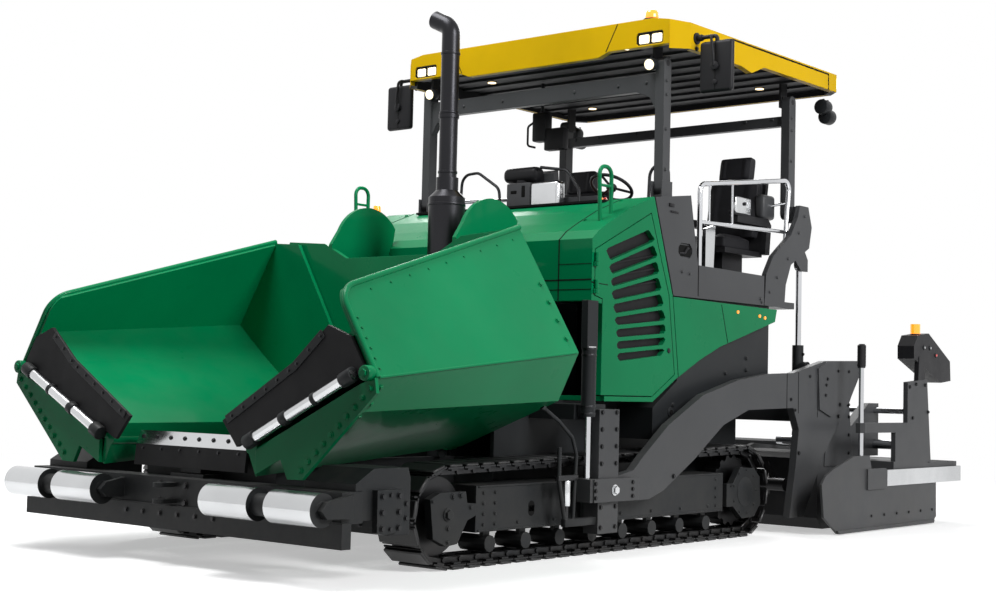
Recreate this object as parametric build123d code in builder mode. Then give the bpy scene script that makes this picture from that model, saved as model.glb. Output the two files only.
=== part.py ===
"""Tracked asphalt paver: hopper in front, operator's platform under a folding roof, floating screed behind.

Millimetres. +X is forward, towards the hopper, +Y is the machine's left, +Z is up.
The origin is on the ground, on the centre plane, midway between the push rollers and the rear walkway.
"""
from build123d import *
from math import atan2, cos, degrees, hypot, pi, radians, sin, sqrt
import os

os.makedirs("parts", exist_ok=True)

# ---------------------------------------------------------------- driving dimensions
MID = 904.0              # the tracks' middle, ahead of the origin
GAP = 5.0                # running clearance between pieces that move
FIT = 0.3                # clearance at pins, bores and rods

# tracks
TRACK_IN = 970.0         # inner face of a track, from the centre plane
TRACK_W = 305.0
TRACK_OUT = TRACK_IN + TRACK_W
IDLER_X = MID + 1650
SPROCKET_X = MID - 1700
IDLER_R = 310.0          # out to the shoes' faces
SPROCKET_R = 342.0
SHOE_H = 28.0            # how far a shoe stands out of the chain
CHAIN_T = 47.0           # chain below the shoes
SHOES = 58
SHOE_SHARE = 0.8         # the part of a pitch that a shoe covers

# main frame
WALL = 30.0              # frame plates
FRAME_Y = 930.0          # outer face of the frame's side plates
FRAME_LOW = 350.0
DECK_Z = 1000.0          # engine deck
REAR_X = MID - 2120      # rear face of the frame, ahead of the augers
FRONT_X = MID + 850      # front face of the frame, behind the hopper
TUNNEL_Y = 530.0         # half the conveyor tunnel's width
TUNNEL_LOW = 620.0
TUNNEL_HIGH = 950.0
STRINGER_END = MID + 2400

# bodywork
BODY_Y = 1275.0          # outer face of hood, doors and side bands
SKIN = 30.0              # body panels and shells
DOOR_T = 40.0
DOOR_GAP = 7.0
PLATFORM_Z = 1800.0      # top of the platform's floor
PLATFORM_REAR = MID - 2480
BAND_T = 40.0

# roof
ROOF_Y = 1360.0
ROOF_FRONT = MID - 600
ROOF_REAR = MID - 3020
ROOF_LOW = 3480.0
ROOF_TOP = 3790.0
ROOF_CEILING = 3600.0
ROOF_CORNER = 110.0       # chamfer of the roof's corners in plan
ROOF_SKIN = 50.0
LAMP_Y = 1085.0          # work lamps in the roof's front
CEILING_SLATS = 9
SLAT_H = 18.0
POST_PIN_Z = 2530.0
POST_LONG = 900.0        # pin to pin, the same in front and behind
FRONT_PIN_X = MID - 720
REAR_PIN_X = MID - 2540
POST_OUT = 1165.0        # outer face of the posts
POST_T = 75.0
POST_PIN_R = 22.0
POST_HOLE_R = POST_PIN_R + FIT

# hopper
HINGE_Y = 640.0          # fold axis of a wing
HINGE_Z = 700.0
HINGE_R = 30.0
APRON_X = STRINGER_END + 30
APRON_Z = 700.0
APRON_R = 22.0
WING_FRONT = MID + 2650
WING_REAR = MID + 900
WING_FOLD_Y = 1630.0     # widest line of the open hopper

# push beam
PIVOT_X = STRINGER_END + 90
PIVOT_R = 35.0
BEAM_BLOCK_LOW = 380.0
BEAM_BLOCK_TOP = 520.0
ROLLER_X = MID + 2800
ROLLER_Z = 410.0
ROLLER_R = 92.0
ROLLER_IN = 500.0
ROLLER_OUT = 1400.0
ROLLER_WAIST = (900.0, 1037.0)
BEAM_Y = 1440.0
BEAM_X = MID + 2590      # middle of the beam's section
BEAM_D = 160.0
BEAM_TOP = 500.0
SHAFT_R = 22.0
TOW_EYE_X = MID + 2740
TOW_EYE_Z = 415.0
TOW_EYE_R = 21.0
TOW_EYE_T = 25.0
TOW_EYE_GAP = 70.0

# screed and its tow points
COLUMN_X = MID + 270     # middle of a tow-point column
COLUMN_W = 220.0
COLUMN_IN = 1305.0
COLUMN_OUT = 1420.0
OUTRIGGER_Z = 880.0
OUTRIGGER_BACK = MID + 160
OUTRIGGER_FRONT = MID + 500
TOW_X = MID + 60         # tow pin
TOW_Z = 430.0
ARM_IN = 1330.0
ARM_T = 60.0
AUGER_X = MID - 2420
AUGER_Z = 360.0
AUGER_R = 195.0
AUGER_IN = 130.0
AUGER_OUT = 1210.0
SCREED_FRONT = MID - 2740
SCREED_BASE_D = 700.0    # fore and aft depth of the main screed
SCREED_Y = 1320.0
EXT_D = 660.0            # fore and aft depth of a screed extension
EXT_OUT = 1640.0         # outer end of an extension as it stands
GATE_T = 20.0
GATE_RIB = 15.0          # how far ribs and bar stand out of a gate
BAR_LOW = 350.0
BAR_HIGH = 480.0
SPINDLE_R = 20.0
GRIP_R = 34.0


def at_y(y):
    """Upright lengthwise plane at y; extrusions from it run towards lower y."""
    return Plane.XZ.offset(-y)


def save(piece, name):
    """Label a finished piece and write it."""
    piece.label = name
    export_step(piece, f"parts/{name}.step")


def save_pair(piece, name):
    """Write a left piece and its mirror image on the right."""
    save(piece, name + "_left")
    save(mirror(piece, about=Plane.XZ), name + "_right")


def save_both(piece, name):
    """Write a left piece and its mirror image as one node of separate solids."""
    twin = mirror(piece, about=Plane.XZ)
    solids = [*piece.solids(), *twin.solids()]
    save(Compound(children=solids), name)


# ---------------------------------------------------------------- tracks
def loop_corners(drop):
    """Tangent points of the loop round idler and sprocket, moved in by drop: top and bottom, front and rear."""
    front_r = IDLER_R - drop
    rear_r = SPROCKET_R - drop
    dx = SPROCKET_X - IDLER_X
    dz = SPROCKET_R - IDLER_R
    span = hypot(dx, dz)
    lean = (front_r - rear_r) / span
    up = sqrt(1 - lean * lean)
    ux, uz = dx / span, dz / span
    nx, nz = ux * lean + uz * up, uz * lean - ux * up
    top_front = (IDLER_X + front_r * nx, IDLER_R + front_r * nz)
    top_rear = (SPROCKET_X + rear_r * nx, SPROCKET_R + rear_r * nz)
    return top_front, top_rear, (SPROCKET_X, drop), (IDLER_X, drop)


def loop_face(drop):
    """Face inside the loop's outline, moved in by drop."""
    top_front, top_rear, low_rear, low_front = loop_corners(drop)
    with BuildSketch() as face:
        with BuildLine():
            Line(top_front, top_rear)
            ThreePointArc(top_rear, (SPROCKET_X - SPROCKET_R + drop, SPROCKET_R), low_rear)
            Line(low_rear, low_front)
            ThreePointArc(low_front, (IDLER_X + IDLER_R - drop, IDLER_R), top_front)
        make_face()
    return face.sketch


def on_loop(s, height):
    """Point at distance s round the chain's outside, from the top front tangent point, raised by height."""
    top_front, top_rear, low_rear, low_front = loop_corners(SHOE_H)
    run = hypot(top_rear[0] - top_front[0], top_rear[1] - top_front[1])
    slope = atan2(top_rear[1] - top_front[1], top_rear[0] - top_front[0])
    rear_r = SPROCKET_R - SHOE_H
    front_r = IDLER_R - SHOE_H
    rear_turn = 1.5 * pi - (slope - pi / 2)
    rear_arc = rear_r * rear_turn
    bottom = low_front[0] - low_rear[0]
    if s < run:
        x = top_front[0] + s * cos(slope)
        z = top_front[1] + s * sin(slope)
        return x + height * cos(slope - pi / 2), z + height * sin(slope - pi / 2)
    s -= run
    if s < rear_arc:
        turn = slope - pi / 2 + s / rear_r
        return SPROCKET_X + (rear_r + height) * cos(turn), SPROCKET_R + (rear_r + height) * sin(turn)
    s -= rear_arc
    if s < bottom:
        return low_rear[0] + s, low_rear[1] - height
    turn = -pi / 2 + (s - bottom) / front_r
    return IDLER_X + (front_r + height) * cos(turn), IDLER_R + (front_r + height) * sin(turn)


def loop_length():
    """Length of the chain's outside."""
    top_front, top_rear, low_rear, low_front = loop_corners(SHOE_H)
    run = hypot(top_rear[0] - top_front[0], top_rear[1] - top_front[1])
    slope = atan2(top_rear[1] - top_front[1], top_rear[0] - top_front[0])
    rear = (SPROCKET_R - SHOE_H) * (2 * pi - slope)
    front = (IDLER_R - SHOE_H) * slope
    return run + rear + (low_front[0] - low_rear[0]) + front


pitch = loop_length() / SHOES
shoe_outline = []
for shoe in range(SHOES):
    start = shoe * pitch
    end = start + SHOE_SHARE * pitch
    for distance, height in ((start, 0), (start, SHOE_H), (end, SHOE_H), (end, 0)):
        shoe_outline.append(on_loop(distance % loop_length(), height))

with BuildPart() as track:
    with BuildSketch(at_y(TRACK_OUT)):
        Polygon(*shoe_outline, align=None)
        add(loop_face(SHOE_H + CHAIN_T), mode=Mode.SUBTRACT)
    extrude(amount=TRACK_W)
save_pair(track.part, "track")

# track frame: beam inside the loop, idler yoke in front, final drive housing behind, rollers under the beam
BEAM_LOW = 205.0
BEAM_HIGH = 485.0
BEAM_FRONT = IDLER_X - 250
BEAM_BACK = SPROCKET_X + 300
TRACK_BEAM_IN = TRACK_IN + 15
TRACK_BEAM_OUT = TRACK_OUT - 15
ROLLERS = 8
CHAIN_IN = SHOE_H + CHAIN_T
ROLLER_SEAT = 0.3
LOW_ROLLER_R = 52.0
WHEEL_Y = TRACK_IN + 60
WHEEL_W = 120.0
# outlines of the covers, from the middles of the idler and of the sprocket
IDLER_COVER = [(-240, 70), (-160, 76), (-145, 145), (80, 146), (168, 110), (136, -120), (20, -170), (-76, -160),
               (-165, -26), (-240, 0)]
DRIVE_COVER = [(236, 60), (170, 62), (69, 178), (-130, 168), (-215, 100), (-232, -100), (-140, -195), (36, -204),
               (170, -108), (258, -108), (258, 60)]
with BuildPart() as track_frame:
    with BuildSketch(at_y(TRACK_BEAM_OUT)):
        with Locations(((BEAM_FRONT + BEAM_BACK) / 2, (BEAM_LOW + BEAM_HIGH) / 2)):
            Rectangle(BEAM_FRONT - BEAM_BACK, BEAM_HIGH - BEAM_LOW)
    extrude(amount=TRACK_BEAM_OUT - TRACK_BEAM_IN)
    with BuildSketch(at_y(TRACK_BEAM_OUT + 10)):
        Polygon(*[(IDLER_X + x, IDLER_R + z) for x, z in IDLER_COVER], align=None)
    extrude(amount=50)
    with BuildSketch(at_y(TRACK_BEAM_OUT + 10)):
        Polygon(*[(SPROCKET_X + x, SPROCKET_R + z) for x, z in DRIVE_COVER], align=None)
    extrude(amount=50)
    # axles of idler and sprocket
    with BuildSketch(at_y(TRACK_BEAM_OUT)):
        with Locations((IDLER_X, IDLER_R), (SPROCKET_X, SPROCKET_R)):
            Circle(55)
    extrude(amount=TRACK_BEAM_OUT - TRACK_BEAM_IN)
    # bottom rollers on hangers
    spacing = (BEAM_FRONT - BEAM_BACK) / ROLLERS
    places = [(BEAM_BACK + spacing * (k + 0.5), CHAIN_IN + ROLLER_SEAT + LOW_ROLLER_R) for k in range(ROLLERS)]
    with BuildSketch(at_y(TRACK_BEAM_OUT - 30)):
        with Locations(*places):
            RegularPolygon(LOW_ROLLER_R, 12)
    extrude(amount=TRACK_BEAM_OUT - TRACK_BEAM_IN - 60)
    with BuildSketch(at_y(TRACK_BEAM_OUT - 60)):
        with Locations(*[(x, BEAM_LOW) for x, z in places]):
            Rectangle(60, 130)
    extrude(amount=30)
    # cross members to the main frame
    with BuildSketch(at_y(TRACK_BEAM_IN + 1)):
        with Locations((MID + 800, 350), (MID - 900, 350)):
            Rectangle(300, 200)
    extrude(amount=TRACK_BEAM_IN + 1 - FRAME_Y)
save_both(track_frame.part, "track_frames")

TEETH = 17
with BuildPart() as sprocket:
    root = SPROCKET_R - CHAIN_IN - 25
    tip = SPROCKET_R - CHAIN_IN - 1
    teeth = []
    for tooth in range(TEETH):
        for share, radius in ((0.0, root), (0.3, root), (0.5, tip), (0.8, tip)):
            turn = 2 * pi * (tooth + share) / TEETH
            teeth.append((SPROCKET_X + radius * cos(turn), SPROCKET_R + radius * sin(turn)))
    with BuildSketch(at_y(WHEEL_Y + WHEEL_W)):
        Polygon(*teeth, align=None)
        with Locations((SPROCKET_X, SPROCKET_R)):
            Circle(55, mode=Mode.SUBTRACT)
    extrude(amount=WHEEL_W)
with BuildPart() as idler:
    with BuildSketch(at_y(WHEEL_Y + WHEEL_W)):
        with Locations((IDLER_X, IDLER_R)):
            Circle(IDLER_R - CHAIN_IN - ROLLER_SEAT)
            Circle(55, mode=Mode.SUBTRACT)
    extrude(amount=WHEEL_W)
save_both(Compound(children=[sprocket.part.solid(), idler.part.solid()]), "track_wheels")

# ---------------------------------------------------------------- main frame
with BuildPart() as chassis:
    # side plates on a closed belly
    with BuildSketch(at_y(FRAME_Y)):
        Polygon((REAR_X, TUNNEL_LOW), (REAR_X, DECK_Z), (FRONT_X, DECK_Z), (FRONT_X, TUNNEL_LOW), align=None)
    extrude(amount=WALL)
    mirror(about=Plane.XZ)
    with BuildSketch(at_y(FRAME_Y)):
        Polygon((REAR_X, FRAME_LOW + 150), (REAR_X + 200, FRAME_LOW), (FRONT_X - 150, FRAME_LOW),
                (FRONT_X, FRAME_LOW + 100), (FRONT_X, TUNNEL_LOW), (REAR_X, TUNNEL_LOW), align=None)
    extrude(amount=2 * FRAME_Y)
    # engine deck and tunnel roof
    deck_mid = (FRONT_X + REAR_X) / 2
    deck_long = FRONT_X - REAR_X
    for height, width in ((DECK_Z - WALL, FRAME_Y), (TUNNEL_HIGH, TUNNEL_Y + WALL)):
        with BuildSketch(Plane.XY.offset(height)):
            with Locations((deck_mid, 0)):
                Rectangle(deck_long, 2 * width)
        extrude(amount=WALL)
    # tunnel walls
    with BuildSketch(Plane.XY.offset(TUNNEL_LOW)):
        with Locations((deck_mid, TUNNEL_Y + WALL / 2), (deck_mid, -TUNNEL_Y - WALL / 2)):
            Rectangle(deck_long, WALL)
    extrude(amount=TUNNEL_HIGH - TUNNEL_LOW)
    # stringers under the hopper
    with BuildSketch(Plane.XY.offset(TUNNEL_LOW - 220)):
        stringer = STRINGER_END - FRONT_X + 100
        with Locations((STRINGER_END - stringer / 2, TUNNEL_Y + 25), (STRINGER_END - stringer / 2, -TUNNEL_Y - 25)):
            Rectangle(stringer, 80)
        with Locations((STRINGER_END - 40, 0)):
            Rectangle(80, 2 * TUNNEL_Y)
    extrude(amount=220)
    # outriggers over the tracks that hold the tow-point columns
    with BuildSketch(Plane.XY.offset(OUTRIGGER_Z)):
        for sign in (1, -1):
            with Locations(((OUTRIGGER_BACK + OUTRIGGER_FRONT) / 2, sign * (FRAME_Y + COLUMN_IN) / 2)):
                Rectangle(OUTRIGGER_FRONT - OUTRIGGER_BACK, COLUMN_IN - FRAME_Y)
    extrude(amount=100)
    # lug and pin that the push beam swings on
    with BuildSketch(Plane.XY.offset(BEAM_BLOCK_TOP + GAP)):
        with Locations(((STRINGER_END + PIVOT_X + 50) / 2 - 20, 0)):
            Rectangle(PIVOT_X + 50 - STRINGER_END + 40, 180)
    extrude(amount=40)
    with BuildSketch(Plane.XY.offset(BEAM_BLOCK_LOW)):
        with Locations((PIVOT_X, 0)):
            Circle(PIVOT_R)
    extrude(amount=BEAM_BLOCK_TOP + GAP - BEAM_BLOCK_LOW)
    # rear wall with its two tunnel mouths, up to the platform
    with BuildSketch(Plane.YZ.offset(REAR_X)):
        with Locations((0, (FRAME_LOW + 150 + PLATFORM_Z - 50) / 2)):
            Rectangle(2 * FRAME_Y, PLATFORM_Z - 50 - FRAME_LOW - 150)
        with Locations((0, (TUNNEL_LOW + TUNNEL_HIGH) / 2)):
            Rectangle(2 * TUNNEL_Y, TUNNEL_HIGH - TUNNEL_LOW, mode=Mode.SUBTRACT)
    extrude(amount=WALL)
    # auger gear case and hanger on the rear wall
    with BuildSketch(at_y(AUGER_IN - 20)):
        Polygon((REAR_X, 560), (REAR_X, 1150), (REAR_X - 120, 1150), (AUGER_X - 70, 700), (AUGER_X - 70, AUGER_Z - 90),
                (AUGER_X + 70, AUGER_Z - 90), (AUGER_X + 70, 560), align=None)
    extrude(amount=2 * (AUGER_IN - 20))
save(chassis.part, "chassis")

with BuildPart() as engine_block:
    with BuildSketch(Plane.XY.offset(DECK_Z)):
        with Locations((MID - 300, 0)):
            Rectangle(700, 900)
    extrude(amount=700)
save(engine_block.part, "engine_block")

# ---------------------------------------------------------------- hood and doors
HOOD_FRONT = MID + 300
HOOD_REAR_TOP = MID - 416
SEAM_X = MID - 666
SEAM_Z = 1748.0
HOOD_LOW_REAR = (MID - 752, 1178.0)
DOOR_FRONT = MID + 262
HINGE_PIN_X = DOOR_FRONT + DOOR_GAP / 2
HINGE_PIN_Y = BODY_Y + 16
HINGE_PIN_R = 8.0
KNUCKLE_R = 14.0
KNUCKLE_H = 60.0
KNUCKLES = [1740, 1920]  # foot of each door knuckle
hood_side = [(HOOD_FRONT, 1660), (HOOD_FRONT, 2071), (MID + 222, 2135), (MID + 88, 2208), (MID - 119, 2310),
             (HOOD_REAR_TOP, 2424), (SEAM_X, SEAM_Z), HOOD_LOW_REAR,
             (MID - 438, DECK_Z), (MID + 134, DECK_Z), (MID + 134, 1640)]
door_side = [(DOOR_FRONT, 1700), (DOOR_FRONT, 2000), (MID - 380, 2300), (MID - 616, 1748), (MID - 702, 1195),
             (MID - 426, 1040), (MID + 174, 1040), (MID + 174, 1680)]

with BuildPart() as hood:
    with BuildSketch(at_y(BODY_Y)):
        Polygon(*hood_side, align=None)
    extrude(amount=2 * BODY_Y)
    with BuildSketch(at_y(BODY_Y - DOOR_T - GAP)):
        Polygon((HOOD_FRONT - SKIN, 1620), (HOOD_FRONT - SKIN, 2052), (HOOD_REAR_TOP + 20, 2390),
                (HOOD_REAR_TOP - 60, 2390), (SEAM_X - 60, SEAM_Z), (HOOD_LOW_REAR[0] - 60, 1100),
                (HOOD_LOW_REAR[0] - 60, DECK_Z - 60), (MID + 134 - SKIN, DECK_Z - 60), (MID + 134 - SKIN, 1620),
                align=None)
    extrude(amount=2 * (BODY_Y - DOOR_T - GAP), mode=Mode.SUBTRACT)
    # openings for the side doors
    with BuildSketch(at_y(BODY_Y + 1)):
        Polygon(*door_side, align=None)
        offset(amount=DOOR_GAP, kind=Kind.INTERSECTION)
    extrude(amount=2 * BODY_Y + 2, mode=Mode.SUBTRACT)
    # fixed knuckles with the door pins
    for sign in (1, -1):
        for foot in KNUCKLES:
            with BuildSketch(Plane.XY.offset(foot - 32)):
                with Locations((HINGE_PIN_X, sign * HINGE_PIN_Y)):
                    Circle(KNUCKLE_R)
                with Locations((HINGE_PIN_X + 12, sign * (BODY_Y + KNUCKLE_R / 2 - 4))):
                    Rectangle(20, KNUCKLE_R + 8)
            extrude(amount=30)
            with BuildSketch(Plane.XY.offset(foot - 30)):
                with Locations((HINGE_PIN_X, sign * HINGE_PIN_Y)):
                    Circle(HINGE_PIN_R)
            extrude(amount=30 + KNUCKLE_H)
save(hood.part, "hood")

# bars between the louvres, top to bottom: front end and rear end of each bar's upper edge
LOUVRES = [(143, 2017, -369, 2189), (105, 1911, -428, 2085), (81, 1820, -465, 1976), (72, 1737, -490, 1866),
           (51, 1648, -522, 1752), (31, 1560, -551, 1645), (11, 1480, -577, 1545), (1, 1399, -582, 1455),
           (-5, 1319, -572, 1375), (-21, 1240, -556, 1300)]
LOUVRE_BAR = 27.0
with BuildPart() as side_door:
    with BuildSketch(at_y(BODY_Y)):
        Polygon(*door_side, align=None)
    extrude(amount=DOOR_T)
    with BuildSketch(at_y(BODY_Y + 1)):
        for upper, lower in zip(LOUVRES, LOUVRES[1:]):
            Polygon((MID + upper[0] - 22, upper[1] + 4), (MID + upper[0], upper[1] - 16),
                    (MID + lower[0], lower[1] + LOUVRE_BAR + 16), (MID + lower[0] - 22, lower[1] + LOUVRE_BAR + 4),
                    (MID + lower[2] + 22, lower[3] + LOUVRE_BAR - 4), (MID + lower[2], lower[3] + LOUVRE_BAR + 16),
                    (MID + upper[2], upper[3] - 16), (MID + upper[2] + 22, upper[3] - 4), align=None)
    extrude(amount=DOOR_T + 2, mode=Mode.SUBTRACT)
    # knuckles on the hood's pins
    for foot in KNUCKLES:
        with BuildSketch(Plane.XY.offset(foot)):
            with Locations((HINGE_PIN_X, HINGE_PIN_Y)):
                Circle(KNUCKLE_R)
            with Locations((HINGE_PIN_X - 12, BODY_Y + KNUCKLE_R / 2 - 4)):
                Rectangle(20, KNUCKLE_R + 8)
        extrude(amount=KNUCKLE_H)
        with BuildSketch(Plane.XY.offset(foot)):
            with Locations((HINGE_PIN_X, HINGE_PIN_Y)):
                Circle(HINGE_PIN_R + FIT)
        extrude(amount=KNUCKLE_H, mode=Mode.SUBTRACT)
save_pair(side_door.part, "side_door")

# ---------------------------------------------------------------- exhaust
EXHAUST_X = MID + 450
EXHAUST_Y = 115.0
SILENCER_R = 128.0
PIPE_R = 64.0
PIPE_TIP = (-150.0, 70.0)  # how far the bent tip leads to the right and up
with BuildPart() as exhaust:
    with BuildSketch(Plane.XY.offset(1840)):
        with Locations((EXHAUST_X, EXHAUST_Y)):
            Circle(SILENCER_R)
    extrude(amount=600)
    chamfer(exhaust.edges().group_by(Axis.Z)[-1], 50)
    # collar and ring
    for foot, radius, height in ((2430, PIPE_R + 14, 100), (2950, PIPE_R + 8, 26)):
        with BuildSketch(Plane.XY.offset(foot)):
            with Locations((EXHAUST_X, EXHAUST_Y)):
                Circle(radius)
        extrude(amount=height)
    with BuildSketch(Plane.XY.offset(1900)):
        with Locations(((EXHAUST_X - 60 + HOOD_FRONT) / 2, EXHAUST_Y)):
            Rectangle(EXHAUST_X - 60 - HOOD_FRONT, 80)
    extrude(amount=60)
    with BuildLine() as tip_line:
        FilletPolyline((EXHAUST_X, EXHAUST_Y, 2400), (EXHAUST_X, EXHAUST_Y, 3600),
                       (EXHAUST_X, EXHAUST_Y + PIPE_TIP[0], 3600 + PIPE_TIP[1]), radius=90)
    with BuildSketch(Plane((EXHAUST_X, EXHAUST_Y, 2400), z_dir=(0, 0, 1))):
        Circle(PIPE_R)
    sweep(path=tip_line.line)
save(exhaust.part, "exhaust_stack")

# ---------------------------------------------------------------- platform
with BuildPart() as platform:
    with BuildSketch(Plane.XY.offset(PLATFORM_Z - 50)):
        with Locations(((SEAM_X + PLATFORM_REAR) / 2 - 10, 0)):
            Rectangle(SEAM_X - PLATFORM_REAR - 20, 2 * (BODY_Y - BAND_T))
    extrude(amount=50)
    # side bands
    with BuildSketch(at_y(BODY_Y)):
        Polygon((SEAM_X - 12, PLATFORM_Z - 50), (MID - 590, 1995), (MID - 1935, 1978), (MID - 1935, PLATFORM_Z - 50),
                align=None)
    extrude(amount=BAND_T)
    mirror(about=Plane.XZ)
    # front shroud that carries the roof's front posts
    with BuildSketch(at_y(BODY_Y)):
        Polygon((HOOD_REAR_TOP - 12, 2424), (MID - 883, 2484), (MID - 990, 1990), (MID - 590, 1990), align=None)
    extrude(amount=2 * BODY_Y)
    with BuildSketch(at_y(BODY_Y - BAND_T)):
        Polygon((HOOD_REAR_TOP - 60, 2385), (MID - 1040, 2452), (MID - 1040, 1900), (MID - 640, 1900), align=None)
    extrude(amount=2 * (BODY_Y - BAND_T), mode=Mode.SUBTRACT)
    # shallow recesses in the shroud's sides
    for face_y in (BODY_Y, -BODY_Y + 12):
        with BuildSketch(at_y(face_y)):
            with Locations((MID - 820, 2080)):
                Rectangle(180, 105)
            chamfer(vertices(), 34)
        extrude(amount=12, mode=Mode.SUBTRACT)
    # feet of the front posts
    for y in (POST_OUT - POST_T / 2, -POST_OUT + POST_T / 2):
        with BuildSketch(at_y(y + POST_T / 2 + 12)):
            with Locations((FRONT_PIN_X, POST_PIN_Z - 30)):
                Rectangle(130, 150)
        extrude(amount=10)
        with BuildSketch(at_y(y - POST_T / 2 - 2)):
            with Locations((FRONT_PIN_X, POST_PIN_Z - 30)):
                Rectangle(130, 150)
        extrude(amount=10)
        with BuildSketch(at_y(y + POST_T / 2 + 12)):
            with Locations((FRONT_PIN_X, POST_PIN_Z)):
                Circle(POST_PIN_R)
        extrude(amount=POST_T + 24)
save(platform.part, "platform")

# gray legs that carry the rear posts
LIFT_X = MID - 2640      # screed lift cylinders
LIFT_Y = 1185.0
LIFT_TOP = 2120.0
LIFT_LOW = 1290.0
LIFT_PIN_R = 28.0
LIFT_R = 45.0
EYE_T = 40.0
leg_side = [(MID - 1945, PLATFORM_Z - 50), (MID - 1966, 1995), (MID - 2071, 2143), (MID - 2342, 2331), (MID - 2450, 2480),
            (MID - 2480, POST_PIN_Z + 50), (MID - 2620, POST_PIN_Z + 50), (MID - 2680, 2420), (MID - 2640, 2250),
            (MID - 2348, 2094), (MID - 2270, 1930), (MID - 2250, PLATFORM_Z - 50)]
with BuildPart() as post_leg:
    with BuildSketch(at_y(BODY_Y)):
        Polygon(*leg_side, align=None)
    extrude(amount=BAND_T)
    # block beside the rear post's pin, and lug beside the lift cylinder's eye
    with BuildSketch(at_y(BODY_Y - BAND_T)):
        with Locations((REAR_PIN_X, POST_PIN_Z - 20)):
            Rectangle(100, 130)
    extrude(amount=BODY_Y - BAND_T - POST_OUT - GAP)
    with BuildSketch(at_y(BODY_Y - BAND_T)):
        with Locations((REAR_PIN_X, POST_PIN_Z)):
            Circle(POST_PIN_R)
    extrude(amount=BODY_Y - BAND_T - POST_OUT + POST_T)
    with BuildSketch(at_y(BODY_Y - BAND_T)):
        Polygon((MID - 2420, 2200), (MID - 2560, 2330), (LIFT_X - 55, 2160), (LIFT_X - 55, LIFT_TOP - 55),
                (LIFT_X + 55, LIFT_TOP - 55), align=None)
    extrude(amount=BODY_Y - BAND_T - LIFT_Y - EYE_T / 2 - GAP)
save_both(post_leg.part, "post_legs")

# green wedge behind the hood's seam, and the tank behind it
wedge_side = [(SEAM_X - 8, SEAM_Z - 6), (MID - 2137, 1727), (MID - 2109, 1632), (MID - 1308, 1410), (MID - 1037, 1307),
              (HOOD_LOW_REAR[0] - 8, HOOD_LOW_REAR[1])]
with BuildPart() as wedge:
    with BuildSketch(at_y(BODY_Y)):
        Polygon(*wedge_side, align=None)
    extrude(amount=BAND_T)
save_both(wedge.part, "wedge_panels")

with BuildPart() as tank:
    with BuildSketch(at_y(BODY_Y - BAND_T)):
        Polygon((SEAM_X - 30, PLATFORM_Z - 50), (REAR_X + 40, PLATFORM_Z - 50), (REAR_X + 40, 1020), (MID - 1700, 1000),
                (MID - 1100, 740), (MID - 500, 740), (MID - 500, 960), (MID - 800, 1150), align=None)
    extrude(amount=BODY_Y - BAND_T - FRAME_Y)
save_both(tank.part, "side_tanks")

RAIL_R = 19.0
RAIL_Y = 1200.0
with BuildPart() as rail:
    with BuildLine() as rail_line:
        FilletPolyline((MID - 1120, RAIL_Y, PLATFORM_Z), (MID - 1120, RAIL_Y, 2600), (MID - 2440, RAIL_Y, 2780),
                       (MID - 2345, RAIL_Y, 1980), (MID - 2345, RAIL_Y, PLATFORM_Z), radius=70)
    with BuildSketch(Plane((MID - 1120, RAIL_Y, PLATFORM_Z), z_dir=(0, 0, 1))):
        Circle(RAIL_R)
    sweep(path=rail_line.line)
    with BuildLine() as mid_rail:
        Line((MID - 1120, RAIL_Y, 2320), (MID - 2375, RAIL_Y, 2360))
    with BuildSketch(Plane((MID - 1120, RAIL_Y, 2320), z_dir=(-1255, 0, 40))):
        Circle(RAIL_R - 3)
    sweep(path=mid_rail.line)

with BuildPart() as hood_handle:
    with BuildLine() as handle_line:
        FilletPolyline((MID + 60, 1160, 2150), (MID + 80, 1160, 2590), (MID - 60, 1160, 2590), (MID - 60, 1160, 2210),
                       radius=60)
    with BuildSketch(Plane((MID + 60, 1160, 2150), z_dir=(20, 0, 440))):
        Circle(14)
    sweep(path=handle_line.line)
    # feet cut flush with the hood's slope
    with BuildSketch(at_y(1200)):
        Polygon(*hood_side, align=None)
    extrude(amount=80, mode=Mode.SUBTRACT)
save_both(Compound(children=[rail.part.solid(), hood_handle.part.solid()]), "handrails")

with BuildPart() as console:
    with BuildSketch(Plane.XY.offset(PLATFORM_Z)):
        with Locations((MID - 1150, 0)):
            Rectangle(240, 420)
    extrude(amount=560)
    with BuildSketch(at_y(330)):
        Polygon((MID - 1040, 2340), (MID - 1380, 2340), (MID - 1380, 2400), (MID - 1040, 2560), align=None)
    extrude(amount=660)
    # display pod on the console
    with BuildSketch(at_y(-90)):
        Polygon((MID - 1045, 2540), (MID - 1030, 2760), (MID - 1085, 2790), (MID - 1110, 2560), (MID - 1110, 2500),
                align=None)
    extrude(amount=230)
save(console.part, "console")

SEAT_X = MID - 2030
SEAT_Y = 780.0
with BuildPart() as seat:
    with BuildSketch(Plane.XY.offset(PLATFORM_Z)):
        with Locations((SEAT_X, SEAT_Y)):
            Rectangle(300, 300)
    extrude(amount=360)
    with BuildSketch(at_y(SEAT_Y + 240)):
        Polygon((SEAT_X + 260, 2160), (SEAT_X + 260, 2200), (SEAT_X - 265, 2200), (SEAT_X - 360, 2800),
                (SEAT_X - 400, 2800), (SEAT_X - 300, 2160), align=None)
    extrude(amount=480)
    # armrests beside the cushions
    for y in (SEAT_Y + 290, SEAT_Y - 240):
        with BuildSketch(at_y(y)):
            Polygon((SEAT_X + 160, 2400), (SEAT_X + 160, 2450), (SEAT_X - 310, 2470), (SEAT_X - 360, 2420),
                    (SEAT_X - 335, 2180), (SEAT_X - 265, 2180), (SEAT_X - 290, 2400), align=None)
        extrude(amount=50)
save_both(seat.part, "seats")

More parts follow.
